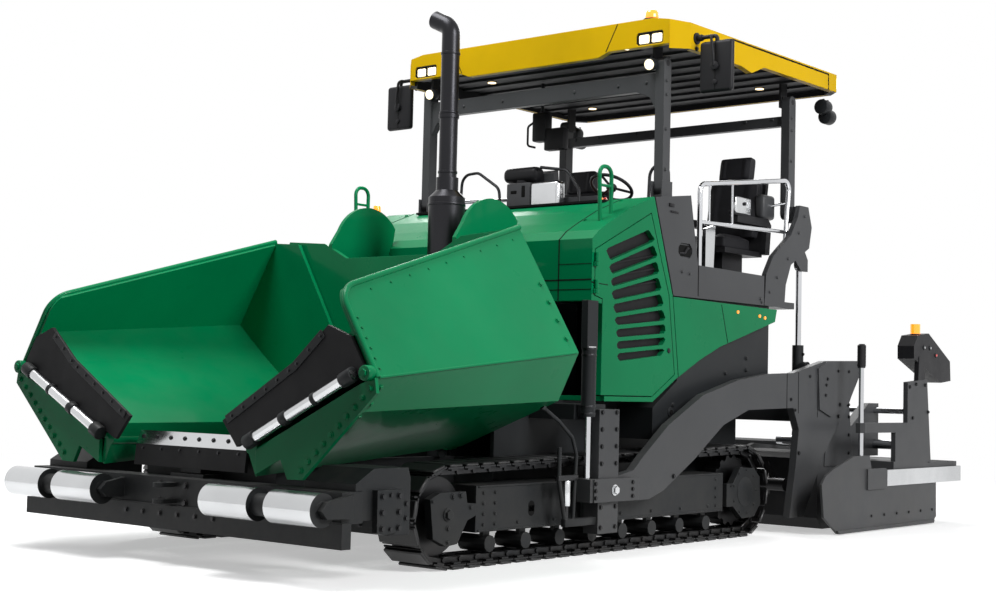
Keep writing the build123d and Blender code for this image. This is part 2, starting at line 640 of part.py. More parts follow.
with BuildPart() as cushion:
    with BuildSketch(at_y(SEAT_Y + 230)):
        Polygon((SEAT_X + 250, 2190), (SEAT_X + 250, 2300), (SEAT_X + 210, 2325), (SEAT_X - 150, 2305),
                (SEAT_X - 235, 2780), (SEAT_X - 365, 2800), (SEAT_X - 280, 2190), align=None)
    extrude(amount=460)
    # head rest
    with BuildSketch(at_y(SEAT_Y + 150)):
        Polygon((SEAT_X - 225, 2770), (SEAT_X - 250, 2970), (SEAT_X - 350, 2985), (SEAT_X - 372, 2810),
                (SEAT_X - 355, 2770), align=None)
    extrude(amount=300)
    add(seat.part, mode=Mode.SUBTRACT)
save_pair(cushion.part, "seat_cushion")

# ---------------------------------------------------------------- roof and its posts
with BuildPart() as front_posts:
    with BuildSketch(at_y(POST_OUT)):
        with Locations((FRONT_PIN_X, POST_PIN_Z + POST_LONG / 2)):
            SlotCenterToCenter(POST_LONG, 90, rotation=90)
        with Locations((FRONT_PIN_X, POST_PIN_Z), (FRONT_PIN_X, POST_PIN_Z + POST_LONG)):
            Circle(POST_HOLE_R, mode=Mode.SUBTRACT)
    extrude(amount=POST_T)
    mirror(about=Plane.XZ)
    # crossbar with gussets under its ends
    with BuildSketch(Plane.YZ.offset(FRONT_PIN_X - 30)):
        with Locations((0, POST_PIN_Z + POST_LONG - 130)):
            Rectangle(2 * POST_OUT - 20, 120)
        Polygon((POST_OUT - POST_T + 5, POST_PIN_Z + POST_LONG - 350), (POST_OUT - POST_T - 60, POST_PIN_Z + POST_LONG - 240),
                (POST_OUT - POST_T - 190, POST_PIN_Z + POST_LONG - 185), (POST_OUT - POST_T + 5, POST_PIN_Z + POST_LONG - 185),
                align=None)
        mirror(about=Plane.YZ)
    extrude(amount=60)
save(front_posts.part, "front_posts")

with BuildPart() as rear_posts:
    with BuildSketch(at_y(POST_OUT)):
        with Locations((REAR_PIN_X, POST_PIN_Z + POST_LONG / 2)):
            SlotCenterToCenter(POST_LONG, 100, rotation=90)
        with Locations((REAR_PIN_X, POST_PIN_Z), (REAR_PIN_X, POST_PIN_Z + POST_LONG)):
            Circle(POST_HOLE_R, mode=Mode.SUBTRACT)
    extrude(amount=POST_T)
    mirror(about=Plane.XZ)
    with BuildSketch(Plane.YZ.offset(REAR_PIN_X - 30)):
        with Locations((0, POST_PIN_Z + POST_LONG - 150)):
            Rectangle(2 * POST_OUT - 20, 80)
    extrude(amount=60)
save(rear_posts.part, "rear_posts")

# brackets inboard of the posts, with the posts' upper pins
BRACKET_T = 20.0
BRACKET_Y = POST_OUT - POST_T - GAP
with BuildPart() as bracket:
    for x in (FRONT_PIN_X, REAR_PIN_X):
        with BuildSketch(at_y(BRACKET_Y)):
            with Locations((x, (POST_PIN_Z + POST_LONG - 40 + ROOF_CEILING) / 2)):
                Rectangle(100, ROOF_CEILING - POST_PIN_Z - POST_LONG + 40)
        extrude(amount=BRACKET_T)
        with BuildSketch(at_y(POST_OUT)):
            with Locations((x, POST_PIN_Z + POST_LONG)):
                Circle(POST_PIN_R)
        extrude(amount=POST_OUT - BRACKET_Y + BRACKET_T)

with BuildPart() as roof:
    with BuildSketch(Plane.XY.offset(ROOF_LOW)):
        with Locations(((ROOF_FRONT + ROOF_REAR) / 2, 0)):
            Rectangle(ROOF_FRONT - ROOF_REAR, 2 * ROOF_Y)
        chamfer(vertices(), ROOF_CORNER)
    extrude(amount=ROOF_TOP - ROOF_LOW)
    # side view: crown along the top, and the stepped lower edge of the skirts
    with BuildSketch(at_y(ROOF_Y + 10)):
        Polygon((ROOF_FRONT + 10, ROOF_TOP - 50), (ROOF_FRONT + 10, ROOF_TOP + 50), (ROOF_REAR - 10, ROOF_TOP + 50),
                (ROOF_REAR - 10, ROOF_TOP - 75), (ROOF_FRONT - 500, ROOF_TOP), align=None)
        Polygon((ROOF_FRONT + 10, ROOF_LOW - 10), (ROOF_FRONT + 10, ROOF_LOW + 27), (ROOF_FRONT - 805, ROOF_LOW + 27),
                (ROOF_FRONT - 960, ROOF_LOW), (ROOF_FRONT - 1140, ROOF_LOW + 72), (ROOF_REAR - 10, ROOF_LOW + 74),
                (ROOF_REAR - 10, ROOF_LOW - 10), align=None)
    extrude(amount=2 * ROOF_Y + 20, mode=Mode.SUBTRACT)
    # front view: top falls to the sides, and the front's middle hangs lower than its ends
    with BuildSketch(Plane.YZ.offset(ROOF_REAR - 10)):
        Polygon((850, ROOF_TOP), (850, ROOF_TOP + 60), (ROOF_Y + 10, ROOF_TOP + 60), (ROOF_Y + 10, ROOF_TOP - 95),
                align=None)
        mirror(about=Plane.YZ)
    extrude(amount=ROOF_FRONT - ROOF_REAR + 20, mode=Mode.SUBTRACT)
    with BuildSketch(Plane.YZ.offset(ROOF_FRONT - ROOF_SKIN)):
        Polygon((610, ROOF_LOW + 20), (720, ROOF_LOW + 62), (ROOF_Y - ROOF_CORNER, ROOF_LOW + 62),
                (ROOF_Y - ROOF_CORNER, ROOF_LOW + 20), align=None)
        mirror(about=Plane.YZ)
        # pockets of the work lamps
        with Locations((LAMP_Y, ROOF_LOW + 120), (-LAMP_Y, ROOF_LOW + 120)):
            RectangleRounded(230, 92, 20)
    extrude(amount=ROOF_SKIN + 1, mode=Mode.SUBTRACT)
    # hollow from below, with slats left across the ceiling
    with BuildSketch(Plane.XY.offset(ROOF_LOW - 1)):
        with Locations(((ROOF_FRONT + ROOF_REAR) / 2, 0)):
            Rectangle(ROOF_FRONT - ROOF_REAR - 2 * ROOF_SKIN, 2 * ROOF_Y - 2 * ROOF_SKIN)
        chamfer(vertices(), ROOF_CORNER - 20)
    extrude(amount=ROOF_CEILING - ROOF_LOW + 1, mode=Mode.SUBTRACT)
    with BuildSketch(Plane.XY.offset(ROOF_CEILING - SLAT_H)):
        slat_gap = (ROOF_FRONT - ROOF_REAR - 2 * ROOF_SKIN) / (CEILING_SLATS + 1)
        with Locations(*[(ROOF_REAR + ROOF_SKIN + slat_gap * (k + 1), 0) for k in range(CEILING_SLATS)]):
            Rectangle(60, 2 * ROOF_Y - 2 * ROOF_SKIN)
    extrude(amount=SLAT_H)
    # housings behind the lamps' pockets
    for sign in (1, -1):
        with BuildSketch(Plane.YZ.offset(ROOF_FRONT - ROOF_SKIN - 60)):
            with Locations((sign * LAMP_Y, ROOF_LOW + 120)):
                Rectangle(250, 110)
        extrude(amount=60)
    add(bracket.part)
    add(bracket.part.mirror(Plane.XZ))
save(roof.part, "roof")

with BuildPart() as roof_lamps:
    with BuildSketch(Plane.XY.offset(ROOF_TOP)):
        with Locations((ROOF_FRONT - 500, 900)):
            Circle(62)
    extrude(amount=90)
save(roof_lamps.part, "beacon")

MIRROR_X = ROOF_FRONT - 187
MIRROR_Y = 1534.0        # middle of a mirror's housing
MIRROR_Z = 3375.0
MIRROR_W = 270.0
MIRROR_H = 370.0
MIRROR_ARM_Z = 3595.0
with BuildPart() as mirror_arm:
    # tube out from the roof's side, bent down to the housing
    with BuildLine() as mirror_line:
        FilletPolyline((MIRROR_X, ROOF_Y - 5, MIRROR_ARM_Z), (MIRROR_X, MIRROR_Y, MIRROR_ARM_Z),
                       (MIRROR_X, MIRROR_Y, MIRROR_Z), radius=45)
    with BuildSketch(Plane((MIRROR_X, ROOF_Y - 5, MIRROR_ARM_Z), z_dir=(0, 1, 0))):
        Circle(15)
    sweep(path=mirror_line.line)
    with BuildSketch(Plane.YZ.offset(MIRROR_X - 30)):
        with Locations((MIRROR_Y, MIRROR_Z)):
            Rectangle(MIRROR_W, MIRROR_H)
        chamfer(vertices(), 45)
    extrude(amount=62)
    # cut flush with the roof's side
    with BuildSketch(Plane.XY.offset(ROOF_LOW)):
        with Locations((MIRROR_X, ROOF_Y - 20)):
            Rectangle(100, 40)
    extrude(amount=ROOF_TOP - ROOF_LOW, mode=Mode.SUBTRACT)
save_both(mirror_arm.part, "mirrors")

# ---------------------------------------------------------------- hopper
with BuildPart() as hopper_floor:
    floor_long = STRINGER_END - FRONT_X
    floor_mid = (STRINGER_END + FRONT_X) / 2
    with BuildSketch(Plane.XY.offset(TUNNEL_LOW)):
        with Locations((floor_mid, 0)):
            Rectangle(floor_long, 2 * TUNNEL_Y)
    extrude(amount=40)
    with BuildSketch(Plane.XY.offset(TUNNEL_LOW + 40)):
        with Locations((floor_mid, TUNNEL_Y - 10), (floor_mid, -TUNNEL_Y + 10), (floor_mid, 0)):
            Rectangle(floor_long, 20)
    extrude(amount=45)
    # saddles under the wings' hinge tubes
    for x in (WING_REAR + 120, (WING_REAR + STRINGER_END) / 2, STRINGER_END - 120):
        with BuildSketch(Plane.YZ.offset(x - 30)):
            Polygon((TUNNEL_Y - 5, TUNNEL_LOW), (645, TUNNEL_LOW), (632, 645), (612, 690), (TUNNEL_Y - 5, 690), align=None)
            with Locations((HINGE_Y, HINGE_Z)):
                Circle(HINGE_R + FIT, mode=Mode.SUBTRACT)
            mirror(about=Plane.YZ)
        extrude(amount=60)
    # seats of the apron's hinge tube
    with BuildSketch(Plane.XY.offset(TUNNEL_LOW)):
        with Locations((APRON_X, 330), (APRON_X, -330)):
            Rectangle(2 * (APRON_X - STRINGER_END), 90)
    extrude(amount=APRON_Z - APRON_R - FIT - TUNNEL_LOW)
save(hopper_floor.part, "hopper_floor")

SLATS = 10
with BuildPart() as conveyor:
    for sign in (1, -1):
        with BuildSketch(Plane.XY.offset(TUNNEL_LOW + 40)):
            with Locations((floor_mid, sign * 60), (floor_mid, sign * (TUNNEL_Y - 70))):
                Rectangle(floor_long - 60, 50)
            slat_pitch = (floor_long - 120) / (SLATS - 1)
            with Locations(*[(FRONT_X + 60 + k * slat_pitch, sign * TUNNEL_Y / 2) for k in range(SLATS)]):
                Rectangle(45, TUNNEL_Y - 90)
        extrude(amount=24)
save(conveyor.part, "conveyor")

EAR_Y = 595.0            # outer face of the plates from the rear wall to the hood
EAR_T = 30.0
with BuildPart() as rear_wall:
    with BuildSketch(Plane.YZ.offset(FRONT_X)):
        Polygon((TUNNEL_Y + 40, TUNNEL_LOW + 40), (1000, 900), (1080, 1900), (1000, 2085), (640, 2060), (420, 1950),
                (0, 1950), (0, TUNNEL_LOW + 40), align=None)
        mirror(about=Plane.YZ)
        with Locations((0, (TUNNEL_LOW + TUNNEL_HIGH) / 2)):
            Rectangle(2 * TUNNEL_Y, TUNNEL_HIGH - TUNNEL_LOW, mode=Mode.SUBTRACT)
    extrude(amount=40)
    # arched plates forward of the hood
    for y in (EAR_Y, -EAR_Y + EAR_T):
        with BuildSketch(at_y(y)):
            with BuildLine():
                Polyline((MID + 249, 2217), (HOOD_FRONT, 1960), (FRONT_X + 10, 1960), (FRONT_X + 40, 1990),
                         (FRONT_X + 40, 2055), (MID + 814, 2162))
                ThreePointArc((MID + 814, 2162), (MID + 560, 2345), (MID + 249, 2217))
            make_face()
        extrude(amount=EAR_T)
    add(hood.part, mode=Mode.SUBTRACT)
save(rear_wall.part, "hopper_rear_wall")

# wing sections across the machine: outline and the hollow below the inner floor, front end and rear end
wing_front = [(700, 545), (1480, 925), (WING_FOLD_Y, 1110), (1324, 1589), (1292, 1570), (1425, 1360), (1200, 1170),
              (600, 800), (620, 700)]
wing_rear = [(700, 690), (1480, 1000), (WING_FOLD_Y, 1300), (1138, 2091), (1106, 2070), (1468, 1490), (1200, 1270),
             (600, 810), (620, 720)]
hollow_front = [(715, 590), (1462, 955), (1592, 1112), (1448, 1337), (1212, 1140), (690, 820)]
hollow_rear = [(715, 730), (1462, 1030), (1592, 1300), (1488, 1462), (1212, 1238), (690, 838)]
RIM_R = 17.0
RIM_BEND = 165.0
FLAP_T = 25.0
with BuildLine() as rim_line:
    FilletPolyline((WING_REAR + 2, *wing_rear[3]), (WING_FRONT, *wing_front[3]), (WING_FRONT, *wing_front[2]),
                   radius=RIM_BEND)
with BuildPart() as wing:
    with BuildSketch(Plane.YZ.offset(WING_REAR)):
        Polygon(*wing_rear, align=None)
    with BuildSketch(Plane.YZ.offset(WING_FRONT)):
        Polygon(*wing_front, align=None)
    loft(ruled=True)
    with BuildSketch(Plane.YZ.offset(WING_REAR + SKIN)):
        Polygon(*hollow_rear, align=None)
    with BuildSketch(Plane.YZ.offset(WING_FRONT + 1)):
        Polygon(*hollow_front, align=None)
    loft(ruled=True, mode=Mode.SUBTRACT)
    # rear plate
    with BuildSketch(Plane.YZ.offset(WING_REAR)):
        Polygon((1128, 2078), (870, 2060), (500, 1450), (604, 798), (1205, 1255), (1478, 1480), align=None)
    extrude(amount=SKIN)
    with BuildSketch(Plane.YZ.offset(WING_REAR)):
        with Locations((HINGE_Y, HINGE_Z)):
            Circle(HINGE_R)
    extrude(amount=WING_FRONT - WING_REAR)
    # rounded front corner, cut along the rim's bend
    bend = rim_line.edges().sort_by(SortBy.LENGTH)[0]
    bend_low, bend_mid, bend_high = [(bend @ t) for t in (0.0, 0.5, 1.0)]
    with BuildSketch(at_y(WING_FOLD_Y + 70)):
        with BuildLine():
            Polyline((bend_low.X, bend_low.Z), (bend_low.X, bend_low.Z + 120), (WING_FRONT + 20, bend_low.Z + 120),
                     (WING_FRONT + 20, bend_high.Z), (bend_high.X, bend_high.Z))
            ThreePointArc((bend_high.X, bend_high.Z), (bend_mid.X, bend_mid.Z), (bend_low.X, bend_low.Z))
        make_face()
    extrude(amount=600, mode=Mode.SUBTRACT)
    # tube along the rim, and the end plate under the floor's slope
    with BuildSketch(Plane(rim_line.line @ 0, z_dir=rim_line.line % 0)):
        Circle(RIM_R)
    sweep(path=rim_line.line)
    with BuildSketch(Plane.YZ.offset(WING_FRONT)):
        Polygon((1630, 1112), (1645, 1030), (1100, 548), (985, 545), (925, 650), (720, 556), (720, 700), (1520, 1075),
                align=None)
    extrude(amount=FLAP_T)
save_pair(wing.part, "hopper_wing")

# dark flap on the front of each wing, with its steel shaft
with BuildPart() as flap:
    with BuildSketch(Plane.YZ.offset(WING_FRONT)):
        Polygon((1550, 1165), (1440, 1330), (1270, 1390), (1027, 1190), (430, 850), (560, 705), (1540, 1142), align=None)
    extrude(amount=FLAP_T)
    start = Vector(WING_FRONT + 50, 1500, 1130)
    end = Vector(WING_FRONT + 50, 700, 745)
    with BuildSketch(Plane(start, z_dir=end - start)):
        Circle(32)
    extrude(amount=(end - start).length)
save_pair(flap.part, "hopper_flap")

with BuildPart() as apron:
    with BuildSketch(at_y(TUNNEL_Y - 20)):
        with Locations((APRON_X, APRON_Z)):
            Circle(APRON_R)
        Polygon((APRON_X, APRON_Z + APRON_R), (APRON_X + 95, APRON_Z + 62), (APRON_X + 125, APRON_Z - 20),
                (APRON_X + 138, APRON_Z - 148), (APRON_X + 116, APRON_Z - 148), (APRON_X + 102, APRON_Z - 20),
                (APRON_X + 80, APRON_Z + 34), (APRON_X, APRON_Z - 4), align=None)
    extrude(amount=2 * TUNNEL_Y - 40)
save(apron.part, "hopper_apron")

# ---------------------------------------------------------------- push beam
with BuildPart() as push_beam:
    with BuildSketch(Plane.XY.offset(200)):
        with Locations((BEAM_X + 70, 0)):
            Rectangle(70, 2 * BEAM_Y)
    extrude(amount=140)
    with BuildSketch(Plane.XY.offset(330)):
        with Locations((BEAM_X, 0)):
            Rectangle(BEAM_D, 2 * BEAM_Y - 60)
    extrude(amount=BEAM_TOP - 330)
    # roller brackets and their shafts
    for sign in (1, -1):
        for y in (ROLLER_OUT + GAP, ROLLER_IN - GAP - 35):
            with BuildSketch(at_y(y + 35 if sign > 0 else -y)):
                Polygon((BEAM_X + 20, 360), (ROLLER_X, ROLLER_Z - 45), (ROLLER_X + 45, ROLLER_Z), (ROLLER_X, ROLLER_Z + 45),
                        (BEAM_X + 20, 490), align=None)
            extrude(amount=35)
            with BuildSketch(at_y(ROLLER_OUT + GAP if sign > 0 else -ROLLER_IN + GAP)):
                with Locations((ROLLER_X, ROLLER_Z)):
                    Circle(SHAFT_R)
            extrude(amount=ROLLER_OUT - ROLLER_IN + 2 * GAP)
    # pivot block under the hopper's cross member
    with BuildSketch(Plane.XY.offset(BEAM_BLOCK_LOW)):
        with Locations((PIVOT_X + 10, 0)):
            Rectangle(140, 300)
    extrude(amount=BEAM_BLOCK_TOP - BEAM_BLOCK_LOW)
    with BuildSketch(Plane.XY.offset(BEAM_BLOCK_LOW - 60)):
        with Locations((PIVOT_X, 0)):
            Circle(PIVOT_R + FIT)
    extrude(amount=BEAM_BLOCK_TOP - BEAM_BLOCK_LOW + 60, mode=Mode.SUBTRACT)
    # two ears of the towing clevis, with the hole of its pin
    for low in (TOW_EYE_Z + TOW_EYE_GAP / 2, TOW_EYE_Z - TOW_EYE_GAP / 2 - TOW_EYE_T):
        with BuildSketch(Plane.XY.offset(low)):
            with Locations((TOW_EYE_X, 0)):
                SlotOverall(130, 80)
            with Locations((BEAM_X + BEAM_D / 2, 0)):
                Rectangle(2 * (TOW_EYE_X - BEAM_X - BEAM_D / 2), 80)
            with Locations((TOW_EYE_X, 0)):
                Circle(TOW_EYE_R, mode=Mode.SUBTRACT)
        extrude(amount=TOW_EYE_T)
save(push_beam.part, "push_beam")

# end boxes with sloped lids, behind the beam
with BuildPart() as beam_end:
    with BuildSketch(at_y(1400)):
        Polygon((BEAM_X + 80 - BEAM_D, BEAM_TOP), (MID + 2560, BEAM_TOP), (MID + 2560, 540), (MID + 2420, 620),
                (MID + 2150, 620), (MID + 2130, 560), (MID + 2130, 250), (MID + 2300, 250), (MID + 2330, 340),
                (BEAM_X - BEAM_D / 2, 340), (BEAM_X - BEAM_D / 2, BEAM_TOP), align=None)
    extrude(amount=400)
    with BuildSketch(at_y(BEAM_Y)):
        Polygon((MID + 2431, 505), (MID + 2231, 505), (MID + 2221, 350), (MID + 2265, 275), (MID + 2370, 260),
                (MID + 2428, 272), align=None)
    extrude(amount=BEAM_Y - 1400)
save_both(beam_end.part, "push_beam_ends")

with BuildPart() as push_roller:
    with BuildSketch(at_y(ROLLER_OUT)):
        with Locations((ROLLER_X, ROLLER_Z)):
            Circle(ROLLER_R)
    extrude(amount=ROLLER_OUT - ROLLER_IN)
    # waist between the two halves
    with BuildSketch(at_y(ROLLER_WAIST[1])):
        with Locations((ROLLER_X, ROLLER_Z)):
            Circle(ROLLER_R + 10)
            Circle(ROLLER_R - 30, mode=Mode.SUBTRACT)
    extrude(amount=ROLLER_WAIST[1] - ROLLER_WAIST[0], mode=Mode.SUBTRACT)
    with BuildSketch(at_y(ROLLER_OUT)):
        with Locations((ROLLER_X, ROLLER_Z)):
            Circle(SHAFT_R + FIT)
    extrude(amount=ROLLER_OUT - ROLLER_IN, mode=Mode.SUBTRACT)
save_pair(push_roller.part, "push_roller")

# ---------------------------------------------------------------- tow points
with BuildPart() as column:
    with BuildSketch(Plane.XY.offset(150)):
        with Locations((COLUMN_X, (COLUMN_IN + COLUMN_OUT) / 2)):
            Rectangle(COLUMN_W, COLUMN_OUT - COLUMN_IN)
    extrude(amount=800)
    # arm that carries it on the track frame and on the hood's corner
    with BuildSketch(Plane.XY.offset(250)):
        with Locations((COLUMN_X, (TRACK_BEAM_OUT + COLUMN_IN) / 2)):
            Rectangle(160, COLUMN_IN - TRACK_BEAM_OUT)
    extrude(amount=180)
save_both(column.part, "tow_columns")

LEVEL_X = MID + 440
LEVEL_Y = 1370.0
LEVEL_R = 48.0
LEVEL_ROD_R = 22.0
with BuildPart() as level_barrel:
    with BuildSketch(Plane.XY.offset(900)):
        with Locations((LEVEL_X, LEVEL_Y)):
            Circle(LEVEL_R)
    extrude(amount=440)
    with BuildSketch(Plane.XY.offset(900)):
        with Locations((LEVEL_X, LEVEL_Y)):
            Circle(LEVEL_ROD_R + FIT)
    extrude(amount=360, mode=Mode.SUBTRACT)
    # foot on the outrigger, and the guard above
    with BuildSketch(Plane.XY.offset(900)):
        with Locations((LEVEL_X, (COLUMN_IN + LEVEL_Y - LEVEL_R) / 2 + 6)):
            Rectangle(60, LEVEL_Y - LEVEL_R - COLUMN_IN + 12)
    extrude(amount=75)
    with BuildSketch(Plane.XY.offset(1340)):
        with Locations((LEVEL_X, LEVEL_Y)):
            Rectangle(110, 50)
    extrude(amount=310)
save_both(level_barrel.part, "levelling_barrels")

with BuildPart() as slider:
    # plate outside the column, with a bracket to the levelling rod and a lug to the tow pin
    with BuildSketch(Plane.XY.offset(TOW_Z - 75)):
        with Locations(((TOW_X - 60 + LEVEL_X) / 2, COLUMN_OUT + 2 + 17)):
            Rectangle(LEVEL_X - TOW_X + 120, 34)
        with Locations((LEVEL_X + 20, LEVEL_Y + 20)):
            Rectangle(80, 110)
    extrude(amount=150)
    with BuildSketch(at_y(COLUMN_OUT + 10)):
        with Locations((TOW_X, TOW_Z)):
            Circle(26)
    extrude(amount=COLUMN_OUT + 10 - ARM_IN + 5)
    with BuildSketch(Plane.XY.offset(TOW_Z + 70)):
        with Locations((LEVEL_X, LEVEL_Y)):
            Circle(LEVEL_ROD_R)
    extrude(amount=1060 - TOW_Z - 70)
save_both(slider.part, "tow_sliders")

# ---------------------------------------------------------------- screed
arm_side = [(TOW_X - 20, 345), (MID - 243, 346), (MID - 422, 400), (MID - 794, 597), (MID - 1186, 841), (MID - 1534, 951),
            (MID - 2209, 969), (MID - 2300, 800), (MID - 2253, 489), (MID - 2170, 125), (MID - 2391, 125),
            (MID - 2704, 596), (MID - 3123, 997), (MID - 3330, 1273), (MID - 3328, 1364), (MID - 2719, 1347),
            (MID - 2202, 1239), (MID - 1819, 1224), (MID - 1385, 1170), (MID - 911, 1055), (MID - 470, 844),
            (MID - 173, 637), (MID - 59, 546), (TOW_X + 60, 515), (TOW_X + 60, 360)]
with BuildPart() as arm:
    with BuildSketch(at_y(ARM_IN + ARM_T)):
        Polygon(*arm_side, align=None)
        with Locations((TOW_X, TOW_Z)):
            Circle(26 + FIT, mode=Mode.SUBTRACT)
    extrude(amount=ARM_T)
    # joint plate on the arm's rear end
    with BuildSketch(at_y(ARM_IN + ARM_T + 14)):
        Polygon((MID - 2585, 1285), (MID - 2732, 1340), (MID - 3224, 1352), (MID - 3315, 1330), (MID - 3290, 1240),
                (MID - 3100, 1010), (MID - 2800, 900), (MID - 2610, 960), align=None)
    extrude(amount=20)
    # pin that the lift cylinder pulls on
    with BuildSketch(at_y(ARM_IN)):
        with Locations((LIFT_X, LIFT_LOW)):
            Circle(LIFT_PIN_R)
    extrude(amount=ARM_IN - LIFT_Y - LIFT_R)
save_pair(arm.part, "screed_arm")

SCREED_REAR = SCREED_FRONT - SCREED_BASE_D
SCREED_TOP = 600.0
WALK_Z = 560.0
EXT_TOP = WALK_Z - 20
EXT_IN = 390.0           # inner end of an extension as it stands
EXT_FRONT = SCREED_REAR - GAP
EXT_REAR = EXT_FRONT - EXT_D
TAIL_X = MID - 4700      # rear edge of the walkways
TUBE_X = SCREED_REAR - 305
TUBE_Z = 670.0
TUBE_R = 40.0
HIGH_TUBE_Z = 955.0
HIGH_TUBE_R = 25.0
with BuildPart() as screed:
    with BuildSketch(at_y(SCREED_Y)):
        Polygon((SCREED_FRONT, 90), (SCREED_FRONT, SCREED_TOP - 40), (SCREED_FRONT - 60, SCREED_TOP),
                (SCREED_REAR, SCREED_TOP), (SCREED_REAR, 0), (SCREED_FRONT - 90, 0), align=None)
    extrude(amount=2 * SCREED_Y)
    # uprights to the arms, and the cross beam between them
    for y in (ARM_IN, -ARM_IN + 50):
        with BuildSketch(at_y(y)):
            Polygon((SCREED_FRONT - 100, SCREED_TOP - 100), (SCREED_FRONT - 160, 1150), (SCREED_FRONT - 480, 1200),
                    (SCREED_FRONT - 600, SCREED_TOP - 100), align=None)
        extrude(amount=50)
    with BuildSketch(at_y(ARM_IN)):
        with Locations((SCREED_FRONT - 340, 930)):
            Rectangle(160, 160)
    extrude(amount=2 * ARM_IN)
    # guides of the telescopic tubes, behind the screed's uprights
    for y in (SCREED_Y, -SCREED_Y + 80):
        with BuildSketch(at_y(y)):
            Polygon((SCREED_REAR + 160, SCREED_TOP - 60), (SCREED_REAR + 160, SCREED_TOP + 200), (TUBE_X + 110, HIGH_TUBE_Z + 60),
                    (TUBE_X - 70, HIGH_TUBE_Z + 60), (TUBE_X - 70, EXT_TOP + 30), (SCREED_REAR, EXT_TOP + 30),
                    (SCREED_REAR, SCREED_TOP - 60), align=None)
            with Locations((TUBE_X, TUBE_Z)):
                Circle(TUBE_R + FIT, mode=Mode.SUBTRACT)
            with Locations((TUBE_X, HIGH_TUBE_Z)):
                Circle(HIGH_TUBE_R + FIT, mode=Mode.SUBTRACT)
        extrude(amount=80)
    # brackets that carry the middle walkway
    for y in (330, -290):
        with BuildSketch(at_y(y)):
            Polygon((SCREED_REAR + 150, SCREED_TOP), (SCREED_REAR, SCREED_TOP + 40), (EXT_REAR + 30, WALK_Z + 40),
                    (TAIL_X + 20, WALK_Z + 40),
                    (TAIL_X + 20, WALK_Z), (SCREED_REAR, WALK_Z), (SCREED_REAR, SCREED_TOP - 60),
                    (SCREED_REAR + 150, SCREED_TOP - 60), align=None)
        extrude(amount=40)

    # middle walkway
    with BuildSketch(Plane.XY.offset(WALK_Z + 40)):
        with Locations(((EXT_REAR + TAIL_X) / 2 - 10, 0)):
            Rectangle(EXT_REAR - TAIL_X - 20, 1400)
    extrude(amount=40)
save(screed.part, "screed")

GUIDE_X = MID - 2890     # spindle of an end gate
GUIDE_Y = EXT_OUT - 20
with BuildPart() as extension:
    with BuildSketch(at_y(EXT_OUT)):
        Polygon((EXT_FRONT, 40), (EXT_FRONT, EXT_TOP), (EXT_REAR, EXT_TOP), (EXT_REAR, 0), (EXT_FRONT - 60, 0), align=None)
    extrude(amount=EXT_OUT - EXT_IN)
    # outer frame plate, with the arm forward to the gate's spindle
    with BuildSketch(at_y(EXT_OUT)):
        Polygon((TUBE_X + 45, EXT_TOP - 10), (TUBE_X + 45, 1200), (EXT_REAR + 25, 1230), (EXT_REAR - 60, WALK_Z - 40),
                (EXT_REAR + 20, EXT_TOP - 10), align=None)
        Polygon((GUIDE_X + 50, 780), (GUIDE_X + 50, 860), (TUBE_X, 860), (TUBE_X, 780), align=None)
        Polygon((EXT_FRONT - 30, EXT_TOP - 10), (EXT_FRONT - 30, 800), (TUBE_X, 800), (TUBE_X, EXT_TOP - 10), align=None)
    extrude(amount=40)
    with BuildSketch(Plane.XY.offset(780)):
        with Locations((GUIDE_X, GUIDE_Y)):
            Circle(40)
    extrude(amount=80)
    # control box on the frame plate, with its lamp
    with BuildSketch(at_y(EXT_OUT - 5)):
        Polygon((MID - 3827, 1400), (MID - 3825, 1508), (MID - 3900, 1600), (MID - 4115, 1625), (MID - 4560, 1395),
                (MID - 4575, 1225), (MID - 4375, 1205), align=None)
    extrude(amount=150)
    with BuildSketch(at_y(EXT_OUT)):
        Polygon((MID - 3900, 1190), (MID - 3920, 1420), (MID - 4040, 1400), (MID - 4030, 1190), align=None)
    extrude(amount=40)
    with BuildSketch(Plane.XY.offset(1590)):
        with Locations((MID - 4010, EXT_OUT - 80)):
            Circle(42)
    extrude(amount=110)
    with BuildSketch(Plane.XY.offset(780)):
        with Locations((GUIDE_X, GUIDE_Y)):
            Circle(SPINDLE_R + FIT)
    extrude(amount=80, mode=Mode.SUBTRACT)
    # telescopic tubes into the screed's guides
    with BuildSketch(at_y(EXT_OUT - 20)):
        with Locations((TUBE_X, TUBE_Z)):
            Circle(TUBE_R)
        with Locations((TUBE_X, HIGH_TUBE_Z)):
            Circle(HIGH_TUBE_R)
    extrude(amount=EXT_OUT - 20 - EXT_IN)
    # step behind
    with BuildSketch(Plane.XY.offset(WALK_Z - 100)):
        with Locations(((EXT_REAR + TAIL_X) / 2, (EXT_OUT + EXT_IN) / 2)):
            Rectangle(EXT_REAR - TAIL_X, EXT_OUT - EXT_IN)
    extrude(amount=60)
save_pair(extension.part, "screed_extension")

